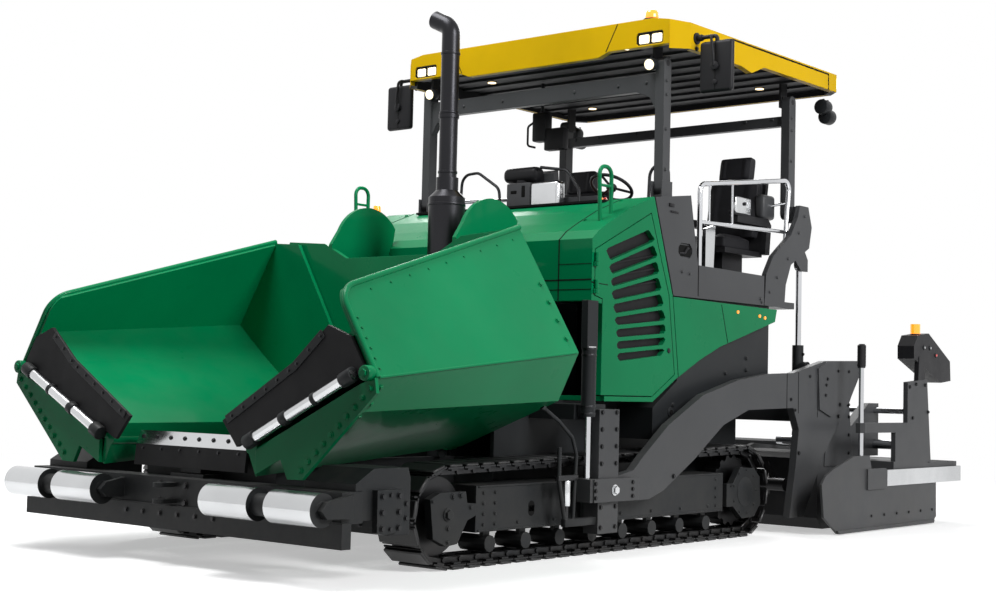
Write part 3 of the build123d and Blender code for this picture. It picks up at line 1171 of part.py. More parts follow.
with BuildPart() as gate:
    with BuildSketch(at_y(EXT_OUT + GAP + GATE_T)):
        Polygon((MID - 2430, 8), (MID - 2200, 145), (MID - 2162, 395), (MID - 2230, 460), (MID - 2358, 510),
                (MID - 2700, 600), (GUIDE_X - 70, 600), (GUIDE_X - 110, BAR_HIGH), (EXT_REAR - 110, BAR_HIGH),
                (EXT_REAR - 120, 60), (EXT_REAR - 50, 8), align=None)
    extrude(amount=GATE_T)
    # bar with its housing, and the wear strip along the foot
    with BuildSketch(at_y(EXT_OUT + GAP + GATE_T + GATE_RIB)):
        Polygon((GUIDE_X - 15, BAR_LOW - 20), (GUIDE_X - 15, BAR_HIGH + 15), (GUIDE_X - 330, BAR_HIGH + 15),
                (GUIDE_X - 360, BAR_HIGH), (TAIL_X, BAR_HIGH), (TAIL_X, BAR_LOW), (GUIDE_X - 360, BAR_LOW),
                (GUIDE_X - 330, BAR_LOW - 20), align=None)
        Polygon((MID - 2430, 8), (MID - 2400, 34), (EXT_REAR - 60, 34), (EXT_REAR - 50, 8), align=None)
    extrude(amount=GATE_RIB + 10)
    # lug and spindle
    with BuildSketch(Plane.XY.offset(560)):
        with Locations((GUIDE_X, (GUIDE_Y + EXT_OUT + GAP + 5) / 2 - 15)):
            Rectangle(60, EXT_OUT + GAP + 5 - GUIDE_Y + 30)
    extrude(amount=40)
    with BuildSketch(Plane.XY.offset(600)):
        with Locations((GUIDE_X, GUIDE_Y)):
            Circle(SPINDLE_R)
    extrude(amount=720)
    # grip on the spindle's top
    with BuildSketch(Plane.XY.offset(1310)):
        with Locations((GUIDE_X, GUIDE_Y)):
            Circle(GRIP_R)
    extrude(amount=180)
    chamfer(gate.edges().group_by(Axis.Z)[-1], 12)
save_pair(gate.part, "end_gate")


# augers: shaft with flat blades set round it like a screw
BLADES = 8
AUGER_PITCH = 340.0
BLADE_T = 12.0
with BuildPart() as blade:
    lean = degrees(atan2(AUGER_PITCH, 2 * pi * AUGER_R * 0.7))
    with BuildSketch(Plane.XZ.rotated((0, 0, -lean))):
        with BuildLine():
            Polyline((40, -20), (40, 20), (AUGER_R * 0.88, AUGER_R * 0.45))
            ThreePointArc((AUGER_R * 0.88, AUGER_R * 0.45), (AUGER_R, 0), (AUGER_R * 0.88, -AUGER_R * 0.45))
            Line((AUGER_R * 0.88, -AUGER_R * 0.45), (40, -20))
        make_face()
    extrude(amount=BLADE_T / 2, both=True)
with BuildPart() as auger:
    with BuildSketch(at_y(AUGER_OUT)):
        with Locations((AUGER_X, AUGER_Z)):
            Circle(50)
    extrude(amount=AUGER_OUT - AUGER_IN + 20 - FIT)
    count = int((AUGER_OUT - AUGER_IN - 120) / AUGER_PITCH * BLADES)
    for k in range(count):
        place = Location((AUGER_X, AUGER_IN + 60 + k * AUGER_PITCH / BLADES, AUGER_Z), (0, 360 * k / BLADES, 0))
        with Locations(place):
            add(blade.part)
save_pair(auger.part, "auger")

LIFT_ROD_R = 24.0
BARREL_TOP = 1470.0
BARREL_LOW = 870.0
ROD_LOW = 1420.0
TRUNNION_Y = LIFT_Y + LIFT_R + 45
with BuildPart() as lift_barrel:
    with BuildSketch(Plane.XY.offset(BARREL_LOW)):
        with Locations((LIFT_X, LIFT_Y)):
            Circle(LIFT_R)
    extrude(amount=BARREL_TOP - BARREL_LOW)
    # boss on the arm's pin
    with BuildSketch(at_y(TRUNNION_Y)):
        with Locations((LIFT_X, LIFT_LOW)):
            Circle(LIFT_PIN_R + 20)
    extrude(amount=TRUNNION_Y - LIFT_Y)
    with BuildSketch(at_y(TRUNNION_Y)):
        with Locations((LIFT_X, LIFT_LOW)):
            Circle(LIFT_PIN_R + FIT)
    extrude(amount=TRUNNION_Y - LIFT_Y - LIFT_R + 5, mode=Mode.SUBTRACT)
    with BuildSketch(Plane.XY.offset(BARREL_LOW + 40)):
        with Locations((LIFT_X, LIFT_Y)):
            Circle(LIFT_ROD_R + FIT)
    extrude(amount=BARREL_TOP, mode=Mode.SUBTRACT)
save_pair(lift_barrel.part, "lift_barrel")

with BuildPart() as lift_rod:
    with BuildSketch(Plane.XY.offset(ROD_LOW)):
        with Locations((LIFT_X, LIFT_Y)):
            Circle(LIFT_ROD_R)
    extrude(amount=LIFT_TOP - 30 - ROD_LOW)
    with BuildSketch(at_y(LIFT_Y + EYE_T / 2)):
        with Locations((LIFT_X, LIFT_TOP)):
            Circle(48)
            Circle(22, mode=Mode.SUBTRACT)
    extrude(amount=EYE_T)
save_pair(lift_rod.part, "lift_rod")
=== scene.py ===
"""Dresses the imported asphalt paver: paint, steel, rubber and glass finishes, the fine hardware,
lamps, tracks and seats, and a pale studio round it. Run as a script in Blender 4.5."""

import math

import bmesh
import bpy
from mathutils import Matrix, Quaternion, Vector
from mathutils.bvhtree import BVHTree


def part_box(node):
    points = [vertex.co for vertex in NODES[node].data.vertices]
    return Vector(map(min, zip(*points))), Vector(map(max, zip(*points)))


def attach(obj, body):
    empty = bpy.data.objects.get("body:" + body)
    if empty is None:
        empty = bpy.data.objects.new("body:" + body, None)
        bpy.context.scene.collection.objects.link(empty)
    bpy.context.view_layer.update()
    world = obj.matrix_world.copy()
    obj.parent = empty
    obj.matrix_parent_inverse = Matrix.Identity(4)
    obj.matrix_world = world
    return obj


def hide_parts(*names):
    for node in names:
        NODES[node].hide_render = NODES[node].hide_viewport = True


bl_info = {
    "name": "Asphalt paver dressing",
    "version": (1, 0, 0),
    "blender": (4, 5, 0),
    "location": "3D View > Sidebar > Paver",
    "description": "Finishes and fine pieces for the packed asphalt paver",
    "category": "Object",
}

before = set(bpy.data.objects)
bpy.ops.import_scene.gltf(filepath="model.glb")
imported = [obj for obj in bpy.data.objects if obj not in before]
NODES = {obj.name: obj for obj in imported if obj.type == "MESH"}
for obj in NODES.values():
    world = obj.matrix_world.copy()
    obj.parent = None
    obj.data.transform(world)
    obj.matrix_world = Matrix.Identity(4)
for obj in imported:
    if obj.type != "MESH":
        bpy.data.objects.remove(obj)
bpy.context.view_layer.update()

# the tracks' middle lies this far ahead of the origin
MID = 0.904
SIDES = (("left", 1), ("right", -1))

# places that shapes are set from, measured as for at() below
BODY_Y = 1.275  # outer face of the hood, doors and side bands
DOOR_INNER_Y = 1.2349  # where the near-black sheet of painted shade behind the door slots lies
HOOD_FRONT = 0.300
HOOD_SEAM_Y = 1.0
ROOF_FRONT, ROOF_REAR = -0.600, -3.020
ROOF_SIDE = 1.36
POSTS = (("front_posts", -0.720), ("rear_posts", -2.540))
POST_Y = 1.165
EXHAUST = (0.450, 0.115)
EXHAUST_TIP = (-0.150, 3.670)  # sideways from the pipe, and height
SHROUD_TOP = 2.476
RAIL_Y = 1.2
SEAT = (-2.030, 0.780)
ROLLER = (2.800, 0.410)
LEVELLING = (0.440, 1.370)
FLAP_SHAFT = ((2.70, 1.5, 1.13), (2.70, 0.7, 0.745))
SCREED_TUBES = ((0.670, 0.052), (0.955, 0.036))  # height, radius of the end collar
TUBE_X = -3.745
BOX_LAMP = (-4.01, 1.56)  # lamp on the control box
SPINDLE = (-2.89, 1.62)  # spindle of the end gate
# outside everything, where rows of bolts start to look for a surface
BESIDE, AHEAD = 1.8, 3.2


def at(x, y, z):
    """A point from its distance ahead of the tracks' middle, its distance to the left, and its height."""
    return Vector((MID + x, y, z))


def mirrored(sign):
    """The same as at() on the left side, and its mirror image on the right."""
    return lambda x, y, z: at(x, sign * y, z)


# ---------------------------------------------------------------- settings
class PaverPaintSettings(bpy.types.PropertyGroup):
    """Colours of the painted and moulded surfaces"""

    green: bpy.props.FloatVectorProperty(
        name="Body green", description="Hopper, hood and door paint", subtype="COLOR",
        default=(0.0, 0.235, 0.085),
    )
    yellow: bpy.props.FloatVectorProperty(
        name="Roof yellow", description="Roof paint", subtype="COLOR", default=(0.84, 0.52, 0.003)
    )
    gray: bpy.props.FloatVectorProperty(
        name="Platform gray", description="Platform, legs, arms and screed paint", subtype="COLOR",
        default=(0.062, 0.064, 0.068),
    )
    dark: bpy.props.FloatVectorProperty(
        name="Frame gray", description="Frame, track frame and push beam paint", subtype="COLOR",
        default=(0.020, 0.022, 0.024),
    )
    wear: bpy.props.FloatProperty(
        name="Edge wear", description="How much paint is rubbed off at the edges", subtype="FACTOR",
        default=0.5, min=0, max=1,
    )
    dust: bpy.props.FloatProperty(
        name="Dust", description="How dusty the lower surfaces are", subtype="FACTOR", default=0.25, min=0,
        max=1,
    )


class PaverHardwareSettings(bpy.types.PropertyGroup):
    """Sizes of the fine pieces"""

    bolt: bpy.props.FloatProperty(
        name="Bolt", description="Radius of a bolt's head", unit="LENGTH", subtype="DISTANCE", default=0.013
    )
    seam: bpy.props.FloatProperty(
        name="Seam", description="Width of the gaps between panels", unit="LENGTH", subtype="DISTANCE",
        default=0.009,
    )
    hoop: bpy.props.FloatProperty(
        name="Hoop", description="Radius of the small rails on the platform", unit="LENGTH",
        subtype="DISTANCE", default=0.012,
    )
    shoes: bpy.props.IntProperty(name="Shoes", description="Shoes round one track", default=58)
    glow: bpy.props.FloatProperty(
        name="Glow", description="How strongly the lamps are lit", default=4.0, min=0
    )


class PaverStageSettings(bpy.types.PropertyGroup):
    """Studio floor, light and camera"""

    camera_place: bpy.props.FloatVectorProperty(
        name="Camera place", description="Where the camera stands", subtype="TRANSLATION", unit="LENGTH",
        default=(9.3896, 7.2933, 1.0825),
    )
    camera_yaw: bpy.props.FloatProperty(
        name="Camera yaw", description="Heading of the view, from the -X axis", subtype="ANGLE",
        unit="ROTATION", default=math.radians(39.783),
    )
    camera_pitch: bpy.props.FloatProperty(
        name="Camera pitch", description="Tilt of the view above the level", subtype="ANGLE", unit="ROTATION",
        default=math.radians(3.2827),
    )
    camera_roll: bpy.props.FloatProperty(
        name="Camera roll", description="Turn of the view about its own axis", subtype="ANGLE",
        unit="ROTATION", default=math.radians(1.3823),
    )
    lens: bpy.props.FloatProperty(
        name="Lens", description="Focal length on a 36 mm sensor, in mm", default=55.896
    )
    floor_shade: bpy.props.FloatProperty(
        name="Floor shade", description="How pale the floor is", subtype="FACTOR", default=0.9
    )
    floor_lift: bpy.props.FloatProperty(
        name="Floor lift", description="White added to the floor as it is seen", subtype="FACTOR",
        default=0.45,
    )
    floor_bounce: bpy.props.FloatProperty(
        name="Floor bounce", description="How much light the floor throws back", subtype="FACTOR",
        default=0.13,
    )


def settings(name):
    return getattr(bpy.context.scene, name)


# ---------------------------------------------------------------- shader node helpers
def shader_group(name, inputs, outputs):
    """A new shader node group. inputs and outputs are (name, socket type, default) rows."""
    group = bpy.data.node_groups.new(name, "ShaderNodeTree")
    for label, kind, value in inputs:
        socket = group.interface.new_socket(label, in_out="INPUT", socket_type=kind)
        socket.default_value = value
    for label, kind in outputs:
        group.interface.new_socket(label, in_out="OUTPUT", socket_type=kind)
    return group, group.nodes.new("NodeGroupInput"), group.nodes.new("NodeGroupOutput")


def add_node(tree, kind, links=(), **values):
    """A node with attributes, socket values (by index or name, in a dict 'at') and incoming links."""
    node = tree.nodes.new(kind)
    for key, value in values.pop("at", {}).items():
        node.inputs[key].default_value = value
    for key, value in values.items():
        setattr(node, key, value)
    for key, source in links:
        tree.links.new(source, node.inputs[key])
    return node


def maths(tree, operation, first, second, **options):
    """A maths node fed by two outputs."""
    return add_node(tree, "ShaderNodeMath", [(0, first), (1, second)], operation=operation, **options)


def noise(tree, place, **values):
    """Noise over a piece's own coordinates; values go to the inputs of the same name."""
    return add_node(tree, "ShaderNodeTexNoise", [("Vector", place.outputs["Object"])], at=values)


def ramp(tree, source, stops):
    """A colour ramp with (position, grey level) stops."""
    node = add_node(tree, "ShaderNodeValToRGB", [(0, source)])
    elements = node.color_ramp.elements
    while len(elements) < len(stops):
        elements.new(0.5)
    for element, (position, level) in zip(elements, stops):
        element.position = position
        element.color = (level, level, level, 1)
    return node.outputs[0]


def make_groups():
    """Edge wear, settled dust and a sprayed surface, shared by the finishes."""
    tree, inn, out = shader_group(
        "Edge wear", [("Width", "NodeSocketFloat", 0.006), ("Amount", "NodeSocketFloat", 0.5)],
        [("Mask", "NodeSocketFloat"), ("Normal", "NodeSocketVector")],
    )
    place = add_node(tree, "ShaderNodeTexCoord")
    bevel = add_node(tree, "ShaderNodeBevel", [("Radius", inn.outputs["Width"])], samples=4)
    face = add_node(tree, "ShaderNodeNewGeometry")
    dot = add_node(
        tree, "ShaderNodeVectorMath", [(0, bevel.outputs[0]), (1, face.outputs["Normal"])],
        operation="DOT_PRODUCT",
    )
    rim = ramp(tree, dot.outputs["Value"], [(0.86, 1), (0.985, 0)])
    speck = noise(tree, place, Scale=14, Detail=8, Roughness=0.7)
    patch = ramp(tree, speck.outputs[0], [(0.5, 0), (0.62, 1)])
    both = maths(tree, "MULTIPLY", rim, patch)
    scaled = maths(tree, "MULTIPLY", both.outputs[0], inn.outputs["Amount"])
    tree.links.new(scaled.outputs[0], out.inputs["Mask"])
    tree.links.new(bevel.outputs[0], out.inputs["Normal"])

    tree, inn, out = shader_group(
        "Settled dust", [
            ("Height", "NodeSocketFloat", 0.9), ("Amount", "NodeSocketFloat", 0.25)
        ], [("Mask", "NodeSocketFloat")]
    )
    place = add_node(tree, "ShaderNodeTexCoord")
    axes = add_node(tree, "ShaderNodeSeparateXYZ", [(0, place.outputs["Object"])])
    fall = add_node(
        tree, "ShaderNodeMapRange", [(0, axes.outputs["Z"]), (2, inn.outputs["Height"])],
        at={1: 0.0, 3: 1.0, 4: 0.0},
    )
    face = add_node(tree, "ShaderNodeNewGeometry")
    tilt = add_node(tree, "ShaderNodeSeparateXYZ", [(0, face.outputs["Normal"])])
    level = add_node(
        tree, "ShaderNodeMapRange", [(0, tilt.outputs["Z"])], at={1: 0.2, 2: 0.9, 3: 0.0, 4: 0.8}
    )
    most = maths(tree, "ADD", fall.outputs[0], level.outputs[0], use_clamp=True)
    cloud = noise(tree, place, Scale=3.2, Detail=9, Roughness=0.72)
    soft = ramp(tree, cloud.outputs[0], [(0.35, 0), (0.75, 1)])
    both = maths(tree, "MULTIPLY", most.outputs[0], soft)
    scaled = maths(tree, "MULTIPLY", both.outputs[0], inn.outputs["Amount"])
    tree.links.new(scaled.outputs[0], out.inputs["Mask"])

    tree, inn, out = shader_group(
        "Sprayed surface",
        [
            ("Colour", "NodeSocketColor", (0.5, 0.5, 0.5, 1)), ("Roughness", "NodeSocketFloat", 0.3),
            ("Spread", "NodeSocketFloat", 0.06),
        ],
        [("Colour", "NodeSocketColor"), ("Roughness", "NodeSocketFloat"), ("Height", "NodeSocketFloat")],
    )
    place = add_node(tree, "ShaderNodeTexCoord")
    broad = noise(tree, place, Scale=1.3, Detail=4)
    shift = add_node(tree, "ShaderNodeMapRange", [(0, broad.outputs[0])], at={1: 0.3, 2: 0.7, 3: 0.9, 4: 1.1})
    tone = add_node(
        tree, "ShaderNodeHueSaturation", [("Color", inn.outputs["Colour"]), ("Value", shift.outputs[0])]
    )
    fine = noise(tree, place, Scale=6.0, Detail=7, Roughness=0.6)
    centred = add_node(tree, "ShaderNodeMath", [(0, fine.outputs[0])], operation="SUBTRACT", at={1: 0.5})
    spread = maths(tree, "MULTIPLY", centred.outputs[0], inn.outputs["Spread"])
    doubled = add_node(tree, "ShaderNodeMath", [(0, spread.outputs[0])], operation="MULTIPLY", at={1: 4.0})
    rough = maths(tree, "ADD", inn.outputs["Roughness"], doubled.outputs[0], use_clamp=True)
    peel = noise(tree, place, Scale=160.0, Detail=2)
    tree.links.new(tone.outputs[0], out.inputs["Colour"])
    tree.links.new(rough.outputs[0], out.inputs["Roughness"])
    tree.links.new(peel.outputs[0], out.inputs["Height"])


def place_group(tree, name, **values):
    node = tree.nodes.new("ShaderNodeGroup")
    node.node_tree = bpy.data.node_groups[name]
    for key, value in values.items():
        node.inputs[key].default_value = value
    return node


def blank_material(name):
    material = bpy.data.materials.new(name)
    material.use_nodes = True
    tree = material.node_tree
    return material, tree, tree.nodes["Principled BSDF"]


def make_paint(
    name, colour, rough=0.28, coat=0.4, wear=0.5, dust=0.25, dust_height=0.9, bump=0.03, shine=0.22
):
    """Sprayed paint over dark steel, rubbed at the edges and dusty low down."""
    material, tree, shader = blank_material(name)
    spray = place_group(tree, "Sprayed surface", Colour=(*colour, 1), Roughness=rough, Spread=0.05)
    edge = place_group(tree, "Edge wear", Width=0.006, Amount=wear)
    dirt = place_group(tree, "Settled dust", Height=dust_height, Amount=dust)
    bare = add_node(
        tree, "ShaderNodeMix", [(0, edge.outputs[0]), (6, spray.outputs["Colour"])], data_type="RGBA",
        at={7: (0.16, 0.16, 0.16, 1)},
    )
    dusty = add_node(
        tree, "ShaderNodeMix", [(0, dirt.outputs[0]), (6, bare.outputs[2])], data_type="RGBA",
        at={7: (0.23, 0.21, 0.18, 1)},
    )
    dull = add_node(
        tree, "ShaderNodeMix", [(0, dirt.outputs[0]), (2, spray.outputs["Roughness"])], data_type="FLOAT",
        at={3: 0.85},
    )
    peel = add_node(
        tree, "ShaderNodeBump", [("Height", spray.outputs["Height"]), ("Normal", edge.outputs["Normal"])],
        at={"Strength": bump, "Distance": 0.002},
    )
    tree.links.new(dusty.outputs[2], shader.inputs["Base Color"])
    tree.links.new(dull.outputs[0], shader.inputs["Roughness"])
    tree.links.new(peel.outputs[0], shader.inputs["Normal"])
    shader.inputs["Specular IOR Level"].default_value = shine
    shader.inputs["Coat Weight"].default_value = coat
    shader.inputs["Coat Roughness"].default_value = 0.08
    return material


def make_metal(name, colour, rough, scale=40.0, bump=0.05, dust=0.0):
    """Bare or plated metal with fine scratches."""
    material, tree, shader = blank_material(name)
    spray = place_group(tree, "Sprayed surface", Colour=(*colour, 1), Roughness=rough, Spread=0.09)
    dirt = place_group(tree, "Settled dust", Height=0.8, Amount=dust)
    dusty = add_node(
        tree, "ShaderNodeMix", [(0, dirt.outputs[0]), (6, spray.outputs["Colour"])], data_type="RGBA",
        at={7: (0.12, 0.10, 0.085, 1)},
    )
    place = add_node(tree, "ShaderNodeTexCoord")
    scratch = noise(tree, place, Scale=scale, Detail=10, Roughness=0.75)
    peel = add_node(
        tree, "ShaderNodeBump", [("Height", scratch.outputs[0])], at={"Strength": bump, "Distance": 0.003}
    )
    tree.links.new(dusty.outputs[2], shader.inputs["Base Color"])
    tree.links.new(spray.outputs["Roughness"], shader.inputs["Roughness"])
    tree.links.new(peel.outputs[0], shader.inputs["Normal"])
    shader.inputs["Metallic"].default_value = 1.0
    return material


def make_rubber(name, colour=(0.009, 0.009, 0.010), rough=0.62, grain=220.0, dust=0.12, shine=0.16):
    """Black rubber or moulded plastic with a grained surface."""
    material, tree, shader = blank_material(name)
    spray = place_group(tree, "Sprayed surface", Colour=(*colour, 1), Roughness=rough, Spread=0.08)
    dirt = place_group(tree, "Settled dust", Height=1.0, Amount=dust)
    dusty = add_node(
        tree, "ShaderNodeMix", [(0, dirt.outputs[0]), (6, spray.outputs["Colour"])], data_type="RGBA",
        at={7: (0.10, 0.09, 0.075, 1)},
    )
    place = add_node(tree, "ShaderNodeTexCoord")
    pebble = add_node(
        tree, "ShaderNodeTexVoronoi", [("Vector", place.outputs["Object"])], at={"Scale": grain}
    )
    bumpy = add_node(
        tree, "ShaderNodeBump", [("Height", pebble.outputs["Distance"])],
        at={"Strength": 0.15, "Distance": 0.001},
    )
    tree.links.new(dusty.outputs[2], shader.inputs["Base Color"])
    tree.links.new(spray.outputs["Roughness"], shader.inputs["Roughness"])
    tree.links.new(bumpy.outputs[0], shader.inputs["Normal"])
    shader.inputs["Specular IOR Level"].default_value = shine
    return material


def make_lens(name, colour, strength=0.0, glow=(1, 1, 1)):
    """Clear or coloured lamp lens with a fluted face; strength lights it from inside."""
    material, tree, shader = blank_material(name)
    place = add_node(tree, "ShaderNodeTexCoord")
    flutes = add_node(
        tree, "ShaderNodeTexWave", [("Vector", place.outputs["Object"])],
        at={"Scale": 38.0, "Distortion": 0.0},
    )
    relief = add_node(
        tree, "ShaderNodeBump", [("Height", flutes.outputs[1])], at={"Strength": 0.25, "Distance": 0.002}
    )
    tree.links.new(relief.outputs[0], shader.inputs["Normal"])
    shader.inputs["Base Color"].default_value = (*colour, 1)
    shader.inputs["Roughness"].default_value = 0.08
    shader.inputs["Coat Weight"].default_value = 1.0
    shader.inputs["Emission Color"].default_value = (*glow, 1)
    shader.inputs["Emission Strength"].default_value = strength
    return material


MATERIALS = {}


def build_materials():
    paint = settings("paver_paint")
    glow = settings("paver_hardware").glow
    make_groups()
    MATERIALS.update(
        green=make_paint(
            "Green paint", paint.green, rough=0.3, coat=0.14, shine=0.06, wear=paint.wear * 0.35,
            dust=paint.dust * 0.4,
        ),
        yellow=make_paint(
            "Yellow paint", paint.yellow, rough=0.42, coat=0.06, shine=0.05, wear=0.1, dust=0.05
        ),
        gray=make_paint(
            "Gray paint", paint.gray, rough=0.4, coat=0.03, wear=paint.wear, dust=paint.dust * 0.7
        ),
        dark=make_paint(
            "Dark paint", paint.dark, rough=0.42, coat=0.02, shine=0.15, wear=paint.wear,
            dust=paint.dust * 0.6, bump=0.06,
        ),
        steel=make_metal("Worn steel", (0.035, 0.036, 0.038), 0.42, dust=0.2),
        bright=make_metal("Bright steel", (0.60, 0.61, 0.62), 0.2, scale=90.0, bump=0.02),
        chrome=make_metal("Chrome", (0.62, 0.63, 0.65), 0.08, scale=30.0, bump=0.005),
        exhaust=make_metal("Black pipe", (0.03, 0.03, 0.033), 0.32, bump=0.03),
        rubber=make_rubber("Rubber"),
        plastic=make_rubber("Black plastic", (0.018, 0.018, 0.02), rough=0.42, grain=420.0, dust=0.08),
        seat=make_rubber("Cushion cover", (0.022, 0.022, 0.025), rough=0.55, grain=300.0, dust=0.05),
        amber=make_lens("Amber lens", (0.95, 0.22, 0.01), 1.6, (1.0, 0.26, 0.01)),
        lamp=make_lens("Lamp lens", (0.95, 0.9, 0.75), glow * 0.4, (1.0, 0.86, 0.55)),
        red=make_lens("Red lens", (0.6, 0.01, 0.01), 0.4, (1.0, 0.03, 0.02)),
        warm=make_lens("Ceiling lamp", (0.95, 0.75, 0.45), glow, (1.0, 0.72, 0.35)),
        lamp_off=make_lens("Unlit lamp", (0.45, 0.46, 0.48)),
        ceiling=make_rubber("Ceiling", (0.03, 0.03, 0.032), rough=0.6, grain=180.0, dust=0.0),
        tread=make_rubber("Grip floor", (0.035, 0.036, 0.038), rough=0.7, grain=70.0, dust=0.15),
        pad=make_rubber("Track pad", (0.012, 0.012, 0.013), rough=0.4, grain=120.0, dust=0.06, shine=0.5),
        # near-black finish: real colour in panel gaps, painted shade where it fills holes, recesses, vents
        # and a step line
        gap=make_rubber("Panel gap", (0.004, 0.004, 0.004), rough=0.9, grain=50.0, dust=0.0),
        # near-black finish of the sheet and blades behind the door slots: painted shade
        grille=make_rubber("Louvre shade", (0.008, 0.008, 0.009), rough=0.5, grain=260.0, dust=0.02),
        glass=make_metal("Mirror glass", (0.75, 0.77, 0.8), 0.04, scale=8.0, bump=0.0),
    )


FINISH = {
    "green": ["hood", "side_door_left", "side_door_right", "hopper_wing_left", "hopper_wing_right",
              "wedge_panels", "hopper_rear_wall"],
    "yellow": ["roof"],
    "gray": ["platform", "post_legs", "console", "front_posts", "rear_posts", "screed_arm_left",
             "screed_arm_right", "tow_columns",
             "tow_sliders", "end_gate_left", "end_gate_right", "screed", "screed_extension_left",
             "screed_extension_right"],
    "dark": ["chassis", "track_frames", "push_beam", "push_beam_ends", "hopper_floor", "side_tanks",
             "levelling_barrels", "lift_barrel_left",
             "lift_barrel_right", "engine_block"],
    "steel": ["track_left", "track_right", "track_wheels", "conveyor", "auger_left", "auger_right"],
    "bright": ["push_roller_left", "push_roller_right"],
    "chrome": ["handrails", "lift_rod_left", "lift_rod_right"],
    "exhaust": ["exhaust_stack"],
    "rubber": ["hopper_flap_left", "hopper_flap_right", "hopper_apron"],
    "plastic": ["mirrors", "seats"],
    "seat": ["seat_cushion_left", "seat_cushion_right"],
    "amber": ["beacon"],
}


# ---------------------------------------------------------------- carried-over solids
def paint_part(node, finish, chosen):
    """Give the faces of a carried-over solid that chosen(centre, normal) picks another finish."""
    mesh = NODES[node].data
    mesh.materials.append(MATERIALS[finish])
    index = len(mesh.materials) - 1
    for face in mesh.polygons:
        if chosen(face.center, face.normal):
            face.material_index = index


def near_line(start, end, reach):
    """A test for faces within reach of the line from start to end."""
    axis = (end - start).normalized()

    def chosen(centre, normal):
        along = (centre - start).dot(axis)
        off = (centre - start) - axis * along
        return off.length < reach and -0.002 < along < (end - start).length + 0.002

    return chosen


class PAVER_OT_finishes(bpy.types.Operator):
    """Give every carried-over solid its paint, metal or rubber"""

    bl_idname = "paver.finishes"
    bl_label = "Finishes"

    def execute(self, context):
        build_materials()
        for finish, names in FINISH.items():
            for name in names:
                mesh = NODES[name].data
                mesh.materials.clear()
                mesh.materials.append(MATERIALS[finish])
        low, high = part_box("roof")
        inner = (low.x + 0.040, high.x - 0.045, high.y - 0.048, high.z - 0.11)
        paint_part(
            "roof", "ceiling",
            lambda c, n: inner[0] < c.x < inner[1] and abs(c.y) < inner[2] and c.z < inner[3],
        )
        paint_part("platform", "tread", lambda c, n: n.z > 0.95 and c.z < 1.85)
        paint_part("handrails", "green", lambda c, n: c.x > MID - 0.4)
        paint_part("tow_sliders", "chrome", lambda c, n: c.z > 0.515)
        paint_part("hopper_apron", "bright", lambda c, n: c.z > 0.675)
        paint_part("screed", "tread", lambda c, n: n.z > 0.95 and c.z < 0.66)
        for side, sign in SIDES:
            self.front_pieces(side, sign)
            self.screed_end(side, sign)
        return {"FINISHED"}

    def front_pieces(self, side, sign):
        """The flap's bright shaft, and the dark waist and ends of the push roller."""
        shaft = near_line(*(at(x, sign * y, z) for x, y, z in FLAP_SHAFT), 0.036)
        paint_part(f"hopper_flap_{side}", "bright", lambda c, n: shaft(c, n) and c.x > MID + 2.676)
        paint_part(f"push_roller_{side}", "dark", lambda c, n: 0.899 < abs(c.y) < 1.038 or abs(n.y) > 0.9)

    def screed_end(self, side, sign):
        """The extension's tubes, box, lamp and step, and the end gate's spindle, grip and bar."""
        extension, gate = f"screed_extension_{side}", f"end_gate_{side}"
        tubes = [
            near_line(at(TUBE_X, sign * 0.39, z), at(TUBE_X, sign * 1.599, z), reach)
            for z, reach in ((0.670, 0.043), (0.955, 0.028))
        ]
        paint_part(extension, "chrome", lambda c, n: any(tube(c, n) for tube in tubes))
        x, y = BOX_LAMP[0], sign * BOX_LAMP[1]
        paint_part(extension, "plastic", lambda c, n: c.z > 1.235 and c.x < MID - 3.8)
        paint_part(extension, "amber", near_line(at(x, y, 1.612), at(x, y, 1.72), 0.047))
        paint_part(extension, "tread", lambda c, n: n.z > 0.95 and c.z < 0.56 and c.x < MID - 4.1)
        x, y = SPINDLE[0], sign * SPINDLE[1]
        paint_part(gate, "chrome", near_line(at(x, y, 0.602), at(x, y, 1.309), 0.022))
        paint_part(gate, "plastic", lambda c, n: c.z > 1.3095)
        paint_part(gate, "bright", lambda c, n: sign * c.y > 1.6655 and c.x < MID - 3.25 and c.z > 0.3)


# ---------------------------------------------------------------- mesh helpers
def bent_path(points, bend, steps=6):
    """The points with each inner corner rounded to the bend's radius."""
    path = [Vector(points[0])]
    for before, corner, after in zip(points, points[1:], points[2:]):
        before, corner, after = Vector(before), Vector(corner), Vector(after)
        into, out = (corner - before).normalized(), (after - corner).normalized()
        turn = into.angle(out)
        if turn < 0.02 or not bend:
            path.append(corner)
            continue
        reach = min(
            bend * math.tan(turn / 2), 0.48 * (corner - before).length, 0.48 * (after - corner).length
        )
        axis = into.cross(out).normalized()
        start = corner - into * reach
        spoke = into.cross(axis) * (reach / math.tan(turn / 2))
        centre = start - spoke
        for k in range(steps + 1):
            path.append(centre + Quaternion(axis, turn * k / steps) @ spoke)
    path.append(Vector(points[-1]))
    return path


SURFACES = {}


def touch(node, start, toward):
    """Where a line from start meets a carried-over solid, and the surface's direction there."""
    if node not in SURFACES:
        mesh = NODES[node].data
        SURFACES[node] = BVHTree.FromPolygons(
            [v.co for v in mesh.vertices], [p.vertices for p in mesh.polygons]
        )
    place, normal, _, _ = SURFACES[node].ray_cast(Vector(start), Vector(toward).normalized())
    if place is None:
        return None, None
    if normal.dot(Vector(toward)) > 0:
        normal = -normal
    return place, normal


